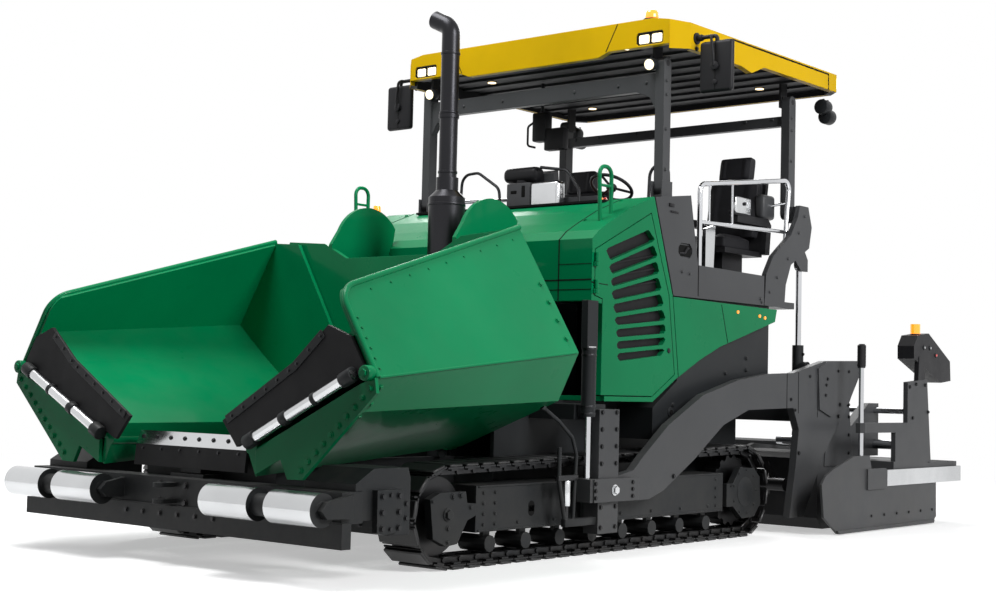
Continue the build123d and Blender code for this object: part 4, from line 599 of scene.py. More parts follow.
class Piece:
    """A mesh being built, whose new faces take their finish as each shape is added."""

    def __init__(self, name):
        self.name = name
        self.bm = bmesh.new()
        self.painted = self.bm.faces.layers.int.new("painted")
        self.finishes = []

    def paint(self, finish):
        if finish not in self.finishes:
            self.finishes.append(finish)
        index = self.finishes.index(finish)
        for face in self.bm.faces:
            if not face[self.painted]:
                face[self.painted] = 1
                face.material_index = index

    def round(self, verts, by, segments=2):
        edges = list({edge for vert in verts for edge in vert.link_edges})
        bmesh.ops.bevel(
            self.bm, geom=edges, offset=by, segments=segments, profile=0.5, affect="EDGES", material=-1
        )

    def block(self, low, high, finish, soft=0.0, segments=2, turn=None):
        """A box between two corners, with its edges rounded by soft and turned about its middle."""
        low, high = Vector(low), Vector(high)
        size = high - low
        matrix = Matrix.Translation((low + high) / 2)
        if turn is not None:
            matrix = matrix @ turn.to_matrix().to_4x4()
        matrix = matrix @ Matrix.Diagonal((abs(size.x), abs(size.y), abs(size.z), 1))
        verts = bmesh.ops.create_cube(self.bm, size=1, matrix=matrix)["verts"]
        if soft:
            self.round(verts, soft, segments)
        self.paint(finish)

    def rod(self, start, end, radius, finish, segments=16, end_radius=None, soft=0.0):
        start, end = Vector(start), Vector(end)
        axis = end - start
        matrix = Matrix.Translation((start + end) / 2) @ axis.to_track_quat("Z", "Y").to_matrix().to_4x4()
        verts = bmesh.ops.create_cone(
            self.bm, cap_ends=True, segments=segments, radius1=radius,
            radius2=radius if end_radius is None else end_radius,
            depth=axis.length, matrix=matrix,
        )["verts"]
        if soft:
            rims = [
                e
                for e in {
                    e for v in verts for e in v.link_edges
                } if any(len(f.verts) > 4 for f in e.link_faces)
            ]
            bmesh.ops.bevel(
                self.bm, geom=rims, offset=soft, segments=2, profile=0.5, affect="EDGES", material=-1
            )
        self.paint(finish)

    def tube(self, points, radius, finish, bend=0.0, segments=12):
        """A round tube along the points, with its corners bent."""
        path = bent_path(points, bend)
        heading = (path[1] - path[0]).normalized()
        matrix = Matrix.Translation(path[0]) @ heading.to_track_quat("Z", "Y").to_matrix().to_4x4()
        ring = bmesh.ops.create_circle(
            self.bm, cap_ends=True, segments=segments, radius=radius, matrix=matrix
        )["verts"]
        cap = next(face for face in ring[0].link_faces if len(face.verts) == segments)
        for index in range(1, len(path)):
            grown = bmesh.ops.extrude_face_region(self.bm, geom=[cap], use_keep_orig=index == 1)["geom"]
            if index > 1:
                bmesh.ops.delete(self.bm, geom=[cap], context="FACES_ONLY")
            cap = next(item for item in grown if isinstance(item, bmesh.types.BMFace))
            verts = list(cap.verts)
            bmesh.ops.translate(self.bm, verts=verts, vec=path[index] - path[index - 1])
            ahead = (path[min(index + 1, len(path) - 1)] - path[index - 1]).normalized()
            swing = heading.rotation_difference(ahead).to_matrix()
            bmesh.ops.rotate(self.bm, verts=verts, cent=path[index], matrix=swing)
            heading = ahead
        self.paint(finish)

    def sheet(self, outline, thick, finish, soft=0.0):
        """A flat plate: its outline extruded by the vector thick."""
        face = self.bm.faces.new([self.bm.verts.new(point) for point in outline])
        grown = bmesh.ops.extrude_face_region(self.bm, geom=[face], use_keep_orig=True)["geom"]
        verts = [item for item in grown if isinstance(item, bmesh.types.BMVert)]
        bmesh.ops.translate(self.bm, verts=verts, vec=Vector(thick))
        if soft:
            self.round(verts, soft, 2)
        self.paint(finish)

    def bolt(self, place, normal, finish, radius=None):
        """A hexagon head on its washer."""
        radius = radius or settings("paver_hardware").bolt
        place, normal = Vector(place), Vector(normal).normalized()
        self.rod(place - normal * 0.002, place + normal * radius * 0.22, radius * 1.3, finish, segments=12)
        self.rod(place, place + normal * radius * 0.85, radius, finish, segments=6, end_radius=radius * 0.94)

    def bolt_row(self, start, end, count, normal, finish, radius=None):
        for k in range(count):
            self.bolt(Vector(start).lerp(Vector(end), k / max(count - 1, 1)), normal, finish, radius)

    def bolt_surface(self, node, start, end, count, toward, finish, radius=None):
        """A row of bolts on a carried-over solid, found by looking toward it from the line start to end."""
        for k in range(count):
            place, normal = touch(node, Vector(start).lerp(Vector(end), k / max(count - 1, 1)), toward)
            if place is not None:
                self.bolt(place, normal, finish, radius)

    def side_bolts(self, node, sign, start, end, count, finish, radius):
        """A row of bolts on a solid's outer side, between two places given ahead and above ground."""
        ends = [at(x, sign * BESIDE, z) for x, z in (start, end)]
        self.bolt_surface(node, *ends, count, (0, -sign, 0), finish, radius)

    def front_bolts(self, node, sign, start, end, count, finish, radius):
        """A row of bolts on a solid's front, between two places given sideways and above ground."""
        ends = [at(AHEAD, sign * y, z) for y, z in (start, end)]
        self.bolt_surface(node, *ends, count, (-1, 0, 0), finish, radius)

    def seam(self, points, normal, finish="gap", width=None):
        """A dark line laid on a surface, where two panels meet."""
        width = width or settings("paver_hardware").seam
        for start, end in zip(points, points[1:]):
            start, end = Vector(start), Vector(end)
            along = (end - start).normalized()
            out = (Vector(normal) - along * along.dot(Vector(normal))).normalized()
            across = along.cross(out)
            axes = Matrix((along, across, out)).transposed().to_4x4()
            size = Matrix.Diagonal(((end - start).length + width * 0.6, width, 0.003, 1))
            bmesh.ops.create_cube(self.bm, size=1, matrix=Matrix.Translation((start + end) / 2) @ axes @ size)
            self.paint(finish)

    def hand_over(self, body, replaced=(), sharp=40):
        """Turn the shapes into one piece that moves with a body, in place of the named solids."""
        bmesh.ops.remove_doubles(self.bm, verts=self.bm.verts, dist=1e-6)
        bmesh.ops.recalc_face_normals(self.bm, faces=self.bm.faces)
        self.bm.faces.layers.int.remove(self.painted)
        mesh = bpy.data.meshes.new(self.name)
        self.bm.to_mesh(mesh)
        self.bm.free()
        for finish in self.finishes:
            mesh.materials.append(MATERIALS[finish])
        mesh.shade_smooth()
        mesh.set_sharp_from_angle(angle=math.radians(sharp))
        obj = bpy.data.objects.new(self.name, mesh)
        bpy.context.scene.collection.objects.link(obj)
        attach(obj, body)
        if replaced:
            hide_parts(*replaced)
        return obj


# ---------------------------------------------------------------- tracks
IDLER = (1.650, 0.310)  # middle, ahead of the tracks' middle, and radius over the shoes
SPROCKET = (-1.700, 0.342)
SHOE_H = 0.028
CHAIN_T = 0.047
LINK_Y = 0.075
PIN_REACH = Vector((0, 0.098, 0))


def chain_loop():
    """Length of the chain's outside, and a function giving place and heading at a distance round it."""
    front, rear = IDLER[1] - SHOE_H, SPROCKET[1] - SHOE_H
    lean = math.atan2(SPROCKET[1] - IDLER[1], IDLER[0] - SPROCKET[0]) * 2
    base = IDLER[0] - SPROCKET[0]
    top = math.sqrt(base * base + (SPROCKET[1] - IDLER[1]) ** 2 - (rear - front) ** 2)
    runs = (top, rear * (math.pi + lean), base, front * (math.pi - lean))

    def spot(distance):
        distance %= sum(runs)
        if distance < runs[0]:
            heading = math.pi - lean
            x = IDLER[0] + front * math.sin(lean) + distance * math.cos(heading)
            z = IDLER[1] + front * math.cos(lean) + distance * math.sin(heading)
            return Vector((MID + x, 0, z)), heading
        distance -= runs[0]
        if distance < runs[1]:
            turn = math.pi / 2 - lean + distance / rear
            place = Vector(
                (MID + SPROCKET[0] + rear * math.cos(turn), 0, SPROCKET[1] + rear * math.sin(turn))
            )
            return place, turn + math.pi / 2
        distance -= runs[1]
        if distance < runs[2]:
            return Vector((MID + SPROCKET[0] + distance, 0, SHOE_H)), 0.0
        turn = -math.pi / 2 + (distance - runs[2]) / front
        place = Vector((MID + IDLER[0] + front * math.cos(turn), 0, IDLER[1] + front * math.sin(turn)))
        return place, turn + math.pi / 2

    return sum(runs), spot


class PAVER_OT_tracks(bpy.types.Operator):
    """Lay the shoes with their rubber pads, links and pins round each track"""

    bl_idname = "paver.tracks"
    bl_label = "Tracks"

    def execute(self, context):
        count = settings("paver_hardware").shoes
        length, spot = chain_loop()
        pitch = length / count
        for side, _ in SIDES:
            low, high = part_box(f"track_{side}")
            middle = (low.y + high.y) / 2
            half = (high.y - low.y) / 2
            piece = Piece(f"track_chain_{side}")
            # size along, across and through; step across; rise from the chain; finish; rounding
            parts = [
                ((pitch * 0.74, 2 * half, SHOE_H * 0.7), 0, SHOE_H * 0.64, "pad", 0.007),
                ((pitch * 0.93, 2 * half - 0.012, SHOE_H * 0.36), 0, SHOE_H * 0.1, "steel", 0.0),
            ]
            for step in (-LINK_Y, LINK_Y):
                parts.append(((pitch * 1.04, 0.026, CHAIN_T * 0.9), step, -CHAIN_T * 0.5, "steel", 0.006))
            for step in (-half + 0.03, half - 0.03):
                parts.append(((pitch * 0.42, 0.03, 0.012), step, -0.008, "steel", 0.0))
            for k in range(count):
                place, heading = spot((k + 0.4) * pitch)
                place.y = middle
                turn = Quaternion((0, 1, 0), -heading)
                out, along = turn @ Vector((0, 0, -1)), turn @ Vector((1, 0, 0))
                for size, step, rise, finish, soft in parts:
                    centre = place + out * rise + Vector((0, step, 0))
                    piece.block(centre - Vector(size) / 2, centre + Vector(size) / 2, finish, soft, 1, turn)
                pin = place - out * CHAIN_T * 0.55 + along * pitch / 2
                piece.rod(pin - PIN_REACH, pin + PIN_REACH, 0.015, "steel", segments=8)
            for vert in piece.bm.verts:
                vert.co.z = max(vert.co.z, 0.0)
            piece.hand_over("tractor", [f"track_{side}"])
        return {"FINISHED"}


# bolts of the front cover: distance ahead, height, radius
COVER_BOLTS = (
    (1.80, 0.41, 0.011), (1.79, 0.21, 0.011), (1.66, 0.165, 0.011), (1.55, 0.435, 0.016), (1.62, 0.43, 0.016),
    (1.665, 0.325, 0.030), (1.66, 0.245, 0.014), (1.46, 0.36, 0.012), (-1.50, 0.39, 0.012),
)
HUB_BOLTS, HUB_Z, HUB_RING = 9, 0.337, 0.165
BEAM_FACE = 1.26
HOLE_X, HOLE_R, HOLE_Z = 0.865, 0.030, (0.345, 0.310)


class PAVER_OT_track_frames(bpy.types.Operator):
    """Bolt the covers, hubs and beams of the track frames"""

    bl_idname = "paver.track_frames"
    bl_label = "Track frames"

    def execute(self, context):
        for side, sign in SIDES:
            piece = Piece(f"track_frame_bolts_{side}")
            inward = Vector((0, -sign, 0))

            def bolts(x, top, bottom, count, radius, last=None):
                start, end = at(x, sign * BESIDE, top), at(x if last is None else last, sign * BESIDE, bottom)
                piece.bolt_surface("track_frames", start, end, count, inward, "dark", radius)

            for x, z, radius in COVER_BOLTS:
                bolts(x, z, z, 1, radius)
            for k in range(HUB_BOLTS):
                turn = 2 * math.pi * k / HUB_BOLTS + 0.3
                z = HUB_Z + HUB_RING * math.sin(turn)
                bolts(SPROCKET[0] + HUB_RING * math.cos(turn), z, z, 1, 0.009)
            hub = at(SPROCKET[0], 0, HUB_Z)
            hub_in, hub_out = Vector((0, sign * 1.265, 0)), Vector((0, sign * 1.2735, 0))
            piece.rod(hub + hub_in, hub + hub_out, 0.11, "dark", segments=32, soft=0.003)
            for x in (1.33, 1.22, -1.30):
                bolts(x, 0.44, 0.25, 4, 0.010)
            bolts(1.0, 0.25, 0.25, 7, 0.010, last=-1.2)
            # oval hand hole, filled with a near-black inset of painted shade, and the lips of the beam
            inner, flush, proud = (sign * (BEAM_FACE + step) for step in (-0.004, 0.0015, 0.006))
            for z in HOLE_Z:
                piece.rod(at(HOLE_X, inner, z), at(HOLE_X, flush, z), HOLE_R, "gap", segments=24)
            piece.block(at(HOLE_X - HOLE_R, inner, HOLE_Z[1]), at(HOLE_X + HOLE_R, flush, HOLE_Z[0]), "gap")
            for z in (0.478, 0.214):
                piece.block(at(-1.38, inner, z - 0.006), at(1.38, proud, z + 0.006), "dark", 0.002, 1)
            piece.hand_over("tractor")
        return {"FINISHED"}


# ---------------------------------------------------------------- hopper
class PAVER_OT_hopper(bpy.types.Operator):
    """Bolt the hopper's wings, flaps and apron"""

    bl_idname = "paver.hopper"
    bl_label = "Hopper"

    def execute(self, context):
        for side, sign in SIDES:
            self.wing_bolts(side, sign)
            self.flap_hardware(side, sign)
        piece = Piece("apron_hardware")
        for reach, z, count, radius in ((0.46, 0.725, 8, 0.011), (0.44, 0.655, 6, 0.009)):
            ends = at(2.9, -reach, z), at(2.9, reach, z)
            piece.bolt_surface("hopper_apron", *ends, count, (-1, 0, 0), "steel", radius)
        piece.hand_over("hopper_apron")
        return {"FINISHED"}

    def wing_bolts(self, side, sign):
        piece = Piece(f"wing_bolts_{side}")
        # where the row starts and ends, how many, the way inward and the bolts' radius
        rows = (
            ((1.02, 2, 2.00), (2.42, 2, 1.60), 9, (0, -1, 0), 0.006),
            ((2.61, 2, 1.43), (2.61, 2, 1.16), 6, (0, -1, 0), 0.007),
            ((0.96, 2, 1.72), (0.96, 2, 1.38), 4, (0, -1, 0), 0.015),
            ((3.2, 1.60, 1.055), (3.2, 1.09, 0.600), 10, (-1, 0, 0), 0.016),
            ((2.58, 1.9, 0.98), (2.58, 1.25, 0.6), 8, (0, -0.55, 0.8), 0.014),
        )
        for start, end, count, way, radius in rows:
            start, end = (at(x, sign * y, z) for x, y, z in (start, end))
            way = Vector((way[0], sign * way[1], way[2]))
            piece.bolt_surface(f"hopper_wing_{side}", start, end, count, way, "green", radius)
        # lug round the end of the flap's shaft, and the crease along the widest line
        y, z = sign * 1.585, 1.135
        piece.rod(at(2.655, y, z), at(2.712, y, z), 0.042, "green", segments=24, soft=0.006)
        piece.rod(at(2.712, y, z), at(2.724, y, z), 0.022, "green", segments=6)
        y = sign * 1.628
        piece.tube([at(0.92, y, 1.297), at(2.64, y, 1.113)], 0.008, "green", segments=10)
        piece.hand_over(f"hopper_wing_{side}")

    def flap_hardware(self, side, sign):
        piece = Piece(f"flap_hardware_{side}")
        ahead = Vector((1, 0, 0))
        corners = [at(2.6765, sign * y, z) for y, z in ((1.235, 1.345), (1.02, 1.165), (0.47, 0.855))]
        for start, end, count in zip(corners, corners[1:], (3, 6)):
            along = (end - start).normalized()
            axes = Matrix((along, along.cross(ahead), ahead)).transposed().to_4x4()
            size = Matrix.Diagonal(((end - start).length, 0.05, 0.010, 1))
            strip = Matrix.Translation((start + end) / 2) @ axes @ size
            bmesh.ops.create_cube(piece.bm, size=1, matrix=strip)
            piece.paint("dark")
            lift = ahead * 0.005
            piece.bolt_row(
                start.lerp(end, 0.08) + lift, start.lerp(end, 0.92) + lift, count, ahead, "steel", 0.009
            )
        shaft = [at(x, sign * y, z) for x, y, z in FLAP_SHAFT]
        run = shaft[1] - shaft[0]
        for share, long, radius in (
            (0.0, 0.09, 0.042), (0.34, 0.03, 0.037), (0.62, 0.05, 0.040), (0.94, 0.08, 0.044)
        ):
            start = shaft[0] + run * share
            piece.rod(start, start + run.normalized() * long, radius, "dark", segments=24, soft=0.004)
        piece.hand_over(f"hopper_wing_{side}")


class PAVER_OT_conveyor(bpy.types.Operator):
    """Lay the links of the conveyor's chains"""

    bl_idname = "paver.conveyor"
    bl_label = "Conveyor"

    def execute(self, context):
        low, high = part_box("conveyor")
        piece = Piece("conveyor_links")
        for y in (0.06, 0.46, -0.06, -0.46):
            for k in range(18):
                x = low.x + 0.04 + k * (high.x - low.x - 0.08) / 17
                piece.rod((x - 0.027, y, high.z), (x + 0.027, y, high.z), 0.012, "steel", segments=8)
                piece.rod((x, y - 0.028, high.z), (x, y + 0.028, high.z), 0.008, "steel", segments=8)
        piece.hand_over("tractor")
        return {"FINISHED"}


# ---------------------------------------------------------------- bodywork
HOOD_CREST = ((HOOD_FRONT, 2.071), (0.222, 2.135), (0.088, 2.208), (-0.119, 2.310), (-0.410, 2.4215))


class PAVER_OT_hood(bpy.types.Operator):
    """Draw the hood's panel gaps, its latches, the near-black sheet and blades of painted shade behind the
    door slots, and the rungs of its handles
    """

    bl_idname = "paver.hood"
    bl_label = "Hood"

    def execute(self, context):
        piece = Piece("hood_seams")
        for sign in (1, -1):
            on = mirrored(sign)
            piece.seam([on(x, HOOD_SEAM_Y, z) for x, z in HOOD_CREST], (0.4, 0, 1))
            piece.seam([on(HOOD_FRONT, HOOD_SEAM_Y, 1.665), on(HOOD_FRONT, HOOD_SEAM_Y, 2.071)], (1, 0, 0))
            piece.seam([on(HOOD_FRONT, 1.27, 1.80), on(HOOD_FRONT, 0.64, 1.80)], (1, 0, 0))
            piece.seam([on(HOOD_FRONT, 1.27, 1.735), on(HOOD_FRONT, 0.64, 1.735)], (1, 0, 0), width=0.005)
            piece.seam(
                [on(HOOD_FRONT, 1.27, 1.905), on(HOOD_FRONT, HOOD_SEAM_Y, 1.905)], (1, 0, 0), width=0.004
            )
            piece.seam([on(0.298, BODY_Y, 1.782), on(0.262, BODY_Y, 1.780)], (0, sign, 0))
            piece.bolt(on(0.055, 1.03, 2.224), (0.45, 0, 1), "green", 0.012)
            piece.bolt(on(-0.36, 1.03, 2.402), (0.45, 0, 1), "green", 0.012)
            piece.rod(on(0.066, 1.16, 2.46), on(-0.06, 1.16, 2.46), 0.010, "green", segments=12)
        # near-black strip of painted shade for the vent under the crest, behind the exhaust
        piece.block(at(-0.40, -0.9, 2.418), at(-0.33, 0.9, 2.402), "gap")
        # lamp on the right handle's foot
        piece.rod(at(-0.16, -1.16, 2.33), at(-0.16, -1.16, 2.39), 0.040, "dark", segments=20)
        piece.rod(
            at(-0.16, -1.16, 2.39), at(-0.16, -1.16, 2.47), 0.034, "amber", segments=20, end_radius=0.028,
            soft=0.008,
        )
        piece.hand_over("tractor")
        for side, sign in SIDES:
            on = mirrored(sign)
            piece = Piece(f"door_slot_shade_{side}")
            y = sign * DOOR_INNER_Y
            outline = (
                (0.165, 1.225), (0.165, 2.03), (-0.40, 2.235), (-0.50, 2.03), (-0.60, 1.62), (-0.615, 1.30),
                (-0.57, 1.225),
            )
            # near-black sheet closing the door slots from behind: painted shade
            piece.sheet([at(x, y, z) for x, z in outline], (0, -sign * 0.004, 0), "grille")
            # near-black blades across the openings: painted shade seen through the slots
            for k in range(9):
                z = 1.965 - k * 0.089
                piece.block(
                    at(-0.55, y + sign * 0.001, z), at(0.12, y + sign * 0.014, z + 0.012), "grille",
                    turn=Quaternion((0, 1, 0), 0.18 - k * 0.012),
                )
            piece.rod(
                on(-0.625, 1.272, 1.36), on(-0.625, 1.283, 1.36), 0.017, "dark", segments=20, soft=0.003
            )
            piece.seam([on(0.258, BODY_Y, 1.779), on(0.12, BODY_Y, 1.774)], (0, sign, 0), width=0.006)
            piece.hand_over(f"side_door_{side}")
        return {"FINISHED"}


class PAVER_OT_side_panels(bpy.types.Operator):
    """Fasten the shroud, the side bands, the wedge and the legs"""

    bl_idname = "paver.side_panels"
    bl_label = "Side panels"

    def execute(self, context):
        piece = Piece("side_panel_hardware")
        for sign in (1, -1):
            on = mirrored(sign)
            y = sign * BODY_Y
            out = (0, sign, 0)
            piece.seam([at(-0.998, y, 1.985), at(-0.998, y, 1.768)], out)
            piece.seam([at(-1.32, y, 1.722), at(-1.415, y, 1.443)], out, width=0.006)
            for x, z in ((-0.78, 1.93), (-0.88, 1.92), (-1.88, 1.80), (-1.90, 1.775)):
                piece.bolt(at(x, y, z), out, "gray", 0.011)
            for x, z in ((-1.87, 1.665), (-1.95, 1.655), (-1.55, 1.68)):
                piece.rod(at(x, y - sign * 0.002, z), at(x, y + sign * 0.007, z), 0.012, "amber", segments=16)
            # black catch on the shroud, and the handle in its recess, whose back is a near-black block of
            # painted shade
            piece.block(
                at(-0.66, y - sign * 0.004, 2.375), at(-0.60, y + sign * 0.010, 2.400), "plastic", 0.003
            )
            piece.block(
                at(-0.72, y - sign * 0.004, 2.335), at(-0.62, y + sign * 0.008, 2.350), "plastic", 0.003
            )
            piece.block(at(-0.90, y - sign * 0.0115, 2.04), at(-0.74, y - sign * 0.006, 2.12), "gap")
            piece.tube(
                [
                    at(-0.88, y - sign * 0.012, 2.10), at(-0.84, y + sign * 0.006, 2.10),
                    at(-0.80, y + sign * 0.006, 2.06), at(-0.76, y - sign * 0.012, 2.06),
                ],
                0.008,
                "plastic",
                0.02,
            )
            for x, z in ((-2.02, 1.86), (-2.13, 1.98), (-2.30, 2.14), (-2.47, 2.36), (-2.56, 2.50)):
                piece.side_bolts("post_legs", sign, (x, z), (x, z), 1, "gray", 0.011)
            # tank fittings under the wedge
            for x, z in ((-1.45, 1.22), (-1.75, 1.34), (-1.75, 1.25), (-0.75, 0.98), (-1.05, 0.90)):
                piece.side_bolts("side_tanks", sign, (x, z), (x, z), 1, "dark", 0.014)
            piece.rod(on(-0.72, 1.22, 0.93), on(-0.72, 1.243, 0.93), 0.035, "dark", segments=20, soft=0.004)
            piece.rod(on(-0.72, 1.24, 0.93), on(-0.72, 1.247, 0.93), 0.018, "gap", segments=16)
        piece.hand_over("tractor")
        return {"FINISHED"}


class PAVER_OT_exhaust(bpy.types.Operator):
    """Clamp the exhaust pipe and close its tip with a near-black disc of painted shade"""

    bl_idname = "paver.exhaust"
    bl_label = "Exhaust"

    def execute(self, context):
        piece = Piece("exhaust_clamps")
        x, y = EXHAUST
        for z in (2.56, 2.98, 3.40):
            piece.rod(at(x, y, z), at(x, y, z + 0.018), 0.069, "exhaust", segments=32, soft=0.003)
        for z in (1.90, 2.33):
            piece.rod(at(x, y, z), at(x, y, z + 0.02), 0.1315, "exhaust", segments=40, soft=0.003)
        tip = at(x, y + EXHAUST_TIP[0], EXHAUST_TIP[1])
        heading = Vector((0, -0.150, 0.070)).normalized()
        # near-black disc inside the tip: painted shade where the pipe is hollow
        piece.rod(tip - heading * 0.004, tip + heading * 0.0015, 0.057, "gap", segments=28)
        piece.hand_over("tractor")
        return {"FINISHED"}


# ---------------------------------------------------------------- roof
class PAVER_OT_roof_lamps(bpy.types.Operator):
    """Set the work lamps, tail lamps and ceiling lamps in the roof, and its panel gaps"""

    bl_idname = "paver.roof_lamps"
    bl_label = "Roof lamps"

    def execute(self, context):
        piece = Piece("roof_lamps")
        for sign in (1, -1):
            on = mirrored(sign)
            y = sign * 1.085
            piece.block(
                at(ROOF_FRONT - 0.048, y - 0.112, 3.554), at(ROOF_FRONT - 0.012, y + 0.112, 3.642), "plastic",
                0.006,
            )
            piece.block(
                at(ROOF_FRONT - 0.02, y - 0.098, 3.566), at(ROOF_FRONT - 0.006, y - 0.012, 3.630), "lamp",
                0.010,
            )
            piece.block(
                at(ROOF_FRONT - 0.02, y + 0.012, 3.566), at(ROOF_FRONT - 0.006, y + 0.098, 3.630), "lamp",
                0.010,
            )
            # bezel round the pocket
            for low, high in (
                ((-0.122, 3.548), (0.122, 3.556)), ((-0.122, 3.640), (0.122, 3.648)),
                ((-0.122, 3.548), (-0.114, 3.648)), ((0.114, 3.548), (0.122, 3.648)),
            ):
                piece.block(
                    at(ROOF_FRONT - 0.02, y + low[0], low[1]), at(ROOF_FRONT - 0.0005, y + high[0], high[1]),
                    "plastic", 0.002, 1,
                )
            piece.rod(
                on(ROOF_FRONT - 0.02, 0.88, 3.565), on(ROOF_FRONT - 0.002, 0.88, 3.565), 0.028, "lamp",
                segments=24,
            )
            # round lamp under the roof's edge
            piece.rod(on(-0.66, 1.065, 3.44), on(-0.66, 1.065, 3.49), 0.008, "dark", segments=8)
            piece.rod(on(-0.70, 1.065, 3.43), on(-0.63, 1.065, 3.415), 0.044, "dark", segments=28, soft=0.006)
            piece.rod(on(-0.63, 1.065, 3.415), on(-0.622, 1.065, 3.413), 0.038, "lamp", segments=28)
            # corner lamps at the back
            piece.block(
                on(ROOF_REAR + 0.035, 1.355, 3.585), on(ROOF_REAR + 0.110, 1.3585, 3.668), "lamp", 0.001, 1
            )
            piece.block(
                on(ROOF_REAR + 0.001, 1.20, 3.585), on(ROOF_REAR + 0.012, 1.245, 3.668), "red", 0.003, 1
            )
            piece.block(
                on(ROOF_REAR + 0.001, 1.12, 3.585), on(ROOF_REAR + 0.012, 1.19, 3.668), "amber", 0.003, 1
            )
            # drum lamps hung behind the rear posts
            for drop, reach in ((3.43, -2.86), (3.36, -2.93)):
                piece.rod(on(reach, 1.27, 3.50), on(reach, 1.27, drop), 0.010, "dark", segments=8)
                piece.rod(
                    on(reach - 0.05, 1.27, drop), on(reach + 0.05, 1.27, drop), 0.062, "dark", segments=28,
                    soft=0.01,
                )
                piece.rod(
                    on(reach - 0.054, 1.27, drop), on(reach - 0.05, 1.27, drop), 0.052, "lamp_off",
                    segments=28,
                )
            # stripe round the side panel; on the front panel, a dark line of painted shade along the step
            # between the raised lamp block and the recessed middle, and a yellow seam strip near its edge
            stripe = [
                on(-1.268, ROOF_SIDE, 3.682), on(-2.770, ROOF_SIDE, 3.678), on(-2.773, ROOF_SIDE, 3.556)
            ]
            piece.seam(stripe, (0, sign, 0), width=0.013)
            piece.seam([on(ROOF_FRONT, 0.80, 3.735), on(ROOF_FRONT, 0.70, 3.545)], (1, 0, 0), width=0.006)
            piece.seam(
                [on(ROOF_FRONT, 1.2495, 3.68), on(ROOF_FRONT, 1.2495, 3.545)], (1, 0, 0), finish="yellow",
                width=0.008,
            )
            for x in (-1.15, -2.55):
                piece.rod(on(x, 0.85, 3.588), on(x, 0.85, 3.576), 0.045, "plastic", segments=24, soft=0.003)
                piece.rod(on(x, 0.85, 3.577), on(x, 0.85, 3.572), 0.034, "warm", segments=24)
        # hung display over the platform
        piece.tube([at(-1.45, -0.55, 3.585), at(-1.45, -0.55, 3.33)], 0.014, "plastic")
        piece.block(at(-1.50, -0.62, 3.10), at(-1.40, -0.48, 3.34), "plastic", 0.015)
        piece.block(at(-1.49, -0.50, 3.02), at(-1.41, -0.30, 3.20), "plastic", 0.012)
        piece.tube(
            [at(-1.45, -0.62, 3.28), at(-1.45, -0.70, 3.24), at(-1.45, -0.70, 3.08), at(-1.45, -0.62, 3.06)],
            0.009, "plastic", 0.03,
        )
        piece.hand_over("roof")

        piece = Piece("warning_lamp")
        foot = touch("roof", at(-0.76, 0.99, 4.2), (0, 0, -1))[0]
        piece.rod(
            foot - Vector((0, 0, 0.03)), foot + Vector((0, 0, 0.024)), 0.062, "plastic", segments=40,
            soft=0.004,
        )
        piece.rod(
            foot + Vector((0, 0, 0.020)), foot + Vector((0, 0, 0.088)), 0.053, "amber", segments=40,
            end_radius=0.044, soft=0.014,
        )
        piece.hand_over("roof", ["beacon"])
        return {"FINISHED"}


class PAVER_OT_mirrors(bpy.types.Operator):
    """Build the mirrors with their shells, glass and bent arms"""

    bl_idname = "paver.mirrors"
    bl_label = "Mirrors"

    def execute(self, context):
        piece = Piece("mirror_shells")
        low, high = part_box("mirrors")
        x, top = (low.x + high.x) / 2, high.z - 0.015
        for sign in (1, -1):
            y = sign * 1.534
            piece.block(
                (low.x + 0.002, y - 0.135, 3.19), (high.x - 0.006, y + 0.135, 3.56), "plastic", 0.026, 4
            )
            piece.block((low.x, y - 0.112, 3.215), (low.x + 0.004, y + 0.112, 3.535), "glass", 0.001, 1)
            piece.block((high.x - 0.0075, y - 0.002, 3.205), (high.x - 0.0045, y + 0.002, 3.545), "gap")
            piece.rod(
                (high.x - 0.008, y, 3.375), (high.x + 0.018, y, 3.375), 0.032, "plastic", segments=28,
                soft=0.008,
            )
            piece.rod(
                (high.x - 0.008, y, 3.26), (high.x + 0.006, y, 3.26), 0.018, "plastic", segments=20,
                soft=0.004,
            )
            piece.tube([(x, sign * 1.352, top), (x, y, top), (x, y, 3.545)], 0.015, "plastic", 0.05)
            piece.tube(
                [
                    (x, y - sign * 0.06, top), (high.x + 0.022, y - sign * 0.02, top),
                    (high.x + 0.022, y, 3.44), (high.x + 0.014, y, 3.375),
                ],
                0.010,
                "plastic",
                0.04,
            )
            piece.rod(
                (x, sign * 1.350, top), (x, sign * 1.372, top), 0.042, "plastic", segments=28, soft=0.006
            )
            piece.rod(
                (x, sign * 1.372, top), (x, sign * 1.412, top), 0.024, "plastic", segments=20, soft=0.005
            )
            piece.bolt((x, sign * ROOF_SIDE, top - 0.075), (0, sign, 0), "plastic", 0.014)
        piece.hand_over("roof", ["mirrors"])
        return {"FINISHED"}


class PAVER_OT_posts(bpy.types.Operator):
    """Bolt the roof's posts"""

    bl_idname = "paver.posts"
    bl_label = "Roof posts"

    def execute(self, context):
        for body, x in POSTS:
            piece = Piece(f"{body}_bolts")
            for sign in (1, -1):
                on = mirrored(sign)
                for z in (2.66, 2.95, 3.20, 3.30):
                    piece.bolt(on(x + 0.012, POST_Y, z), (0, sign, 0), "gray", 0.011)
                for y in (0.35, 0.75, 1.0):
                    piece.bolt(on(x + 0.03, y, 3.30), (1, 0, 0), "gray", 0.010)
            piece.hand_over(body)
        return {"FINISHED"}


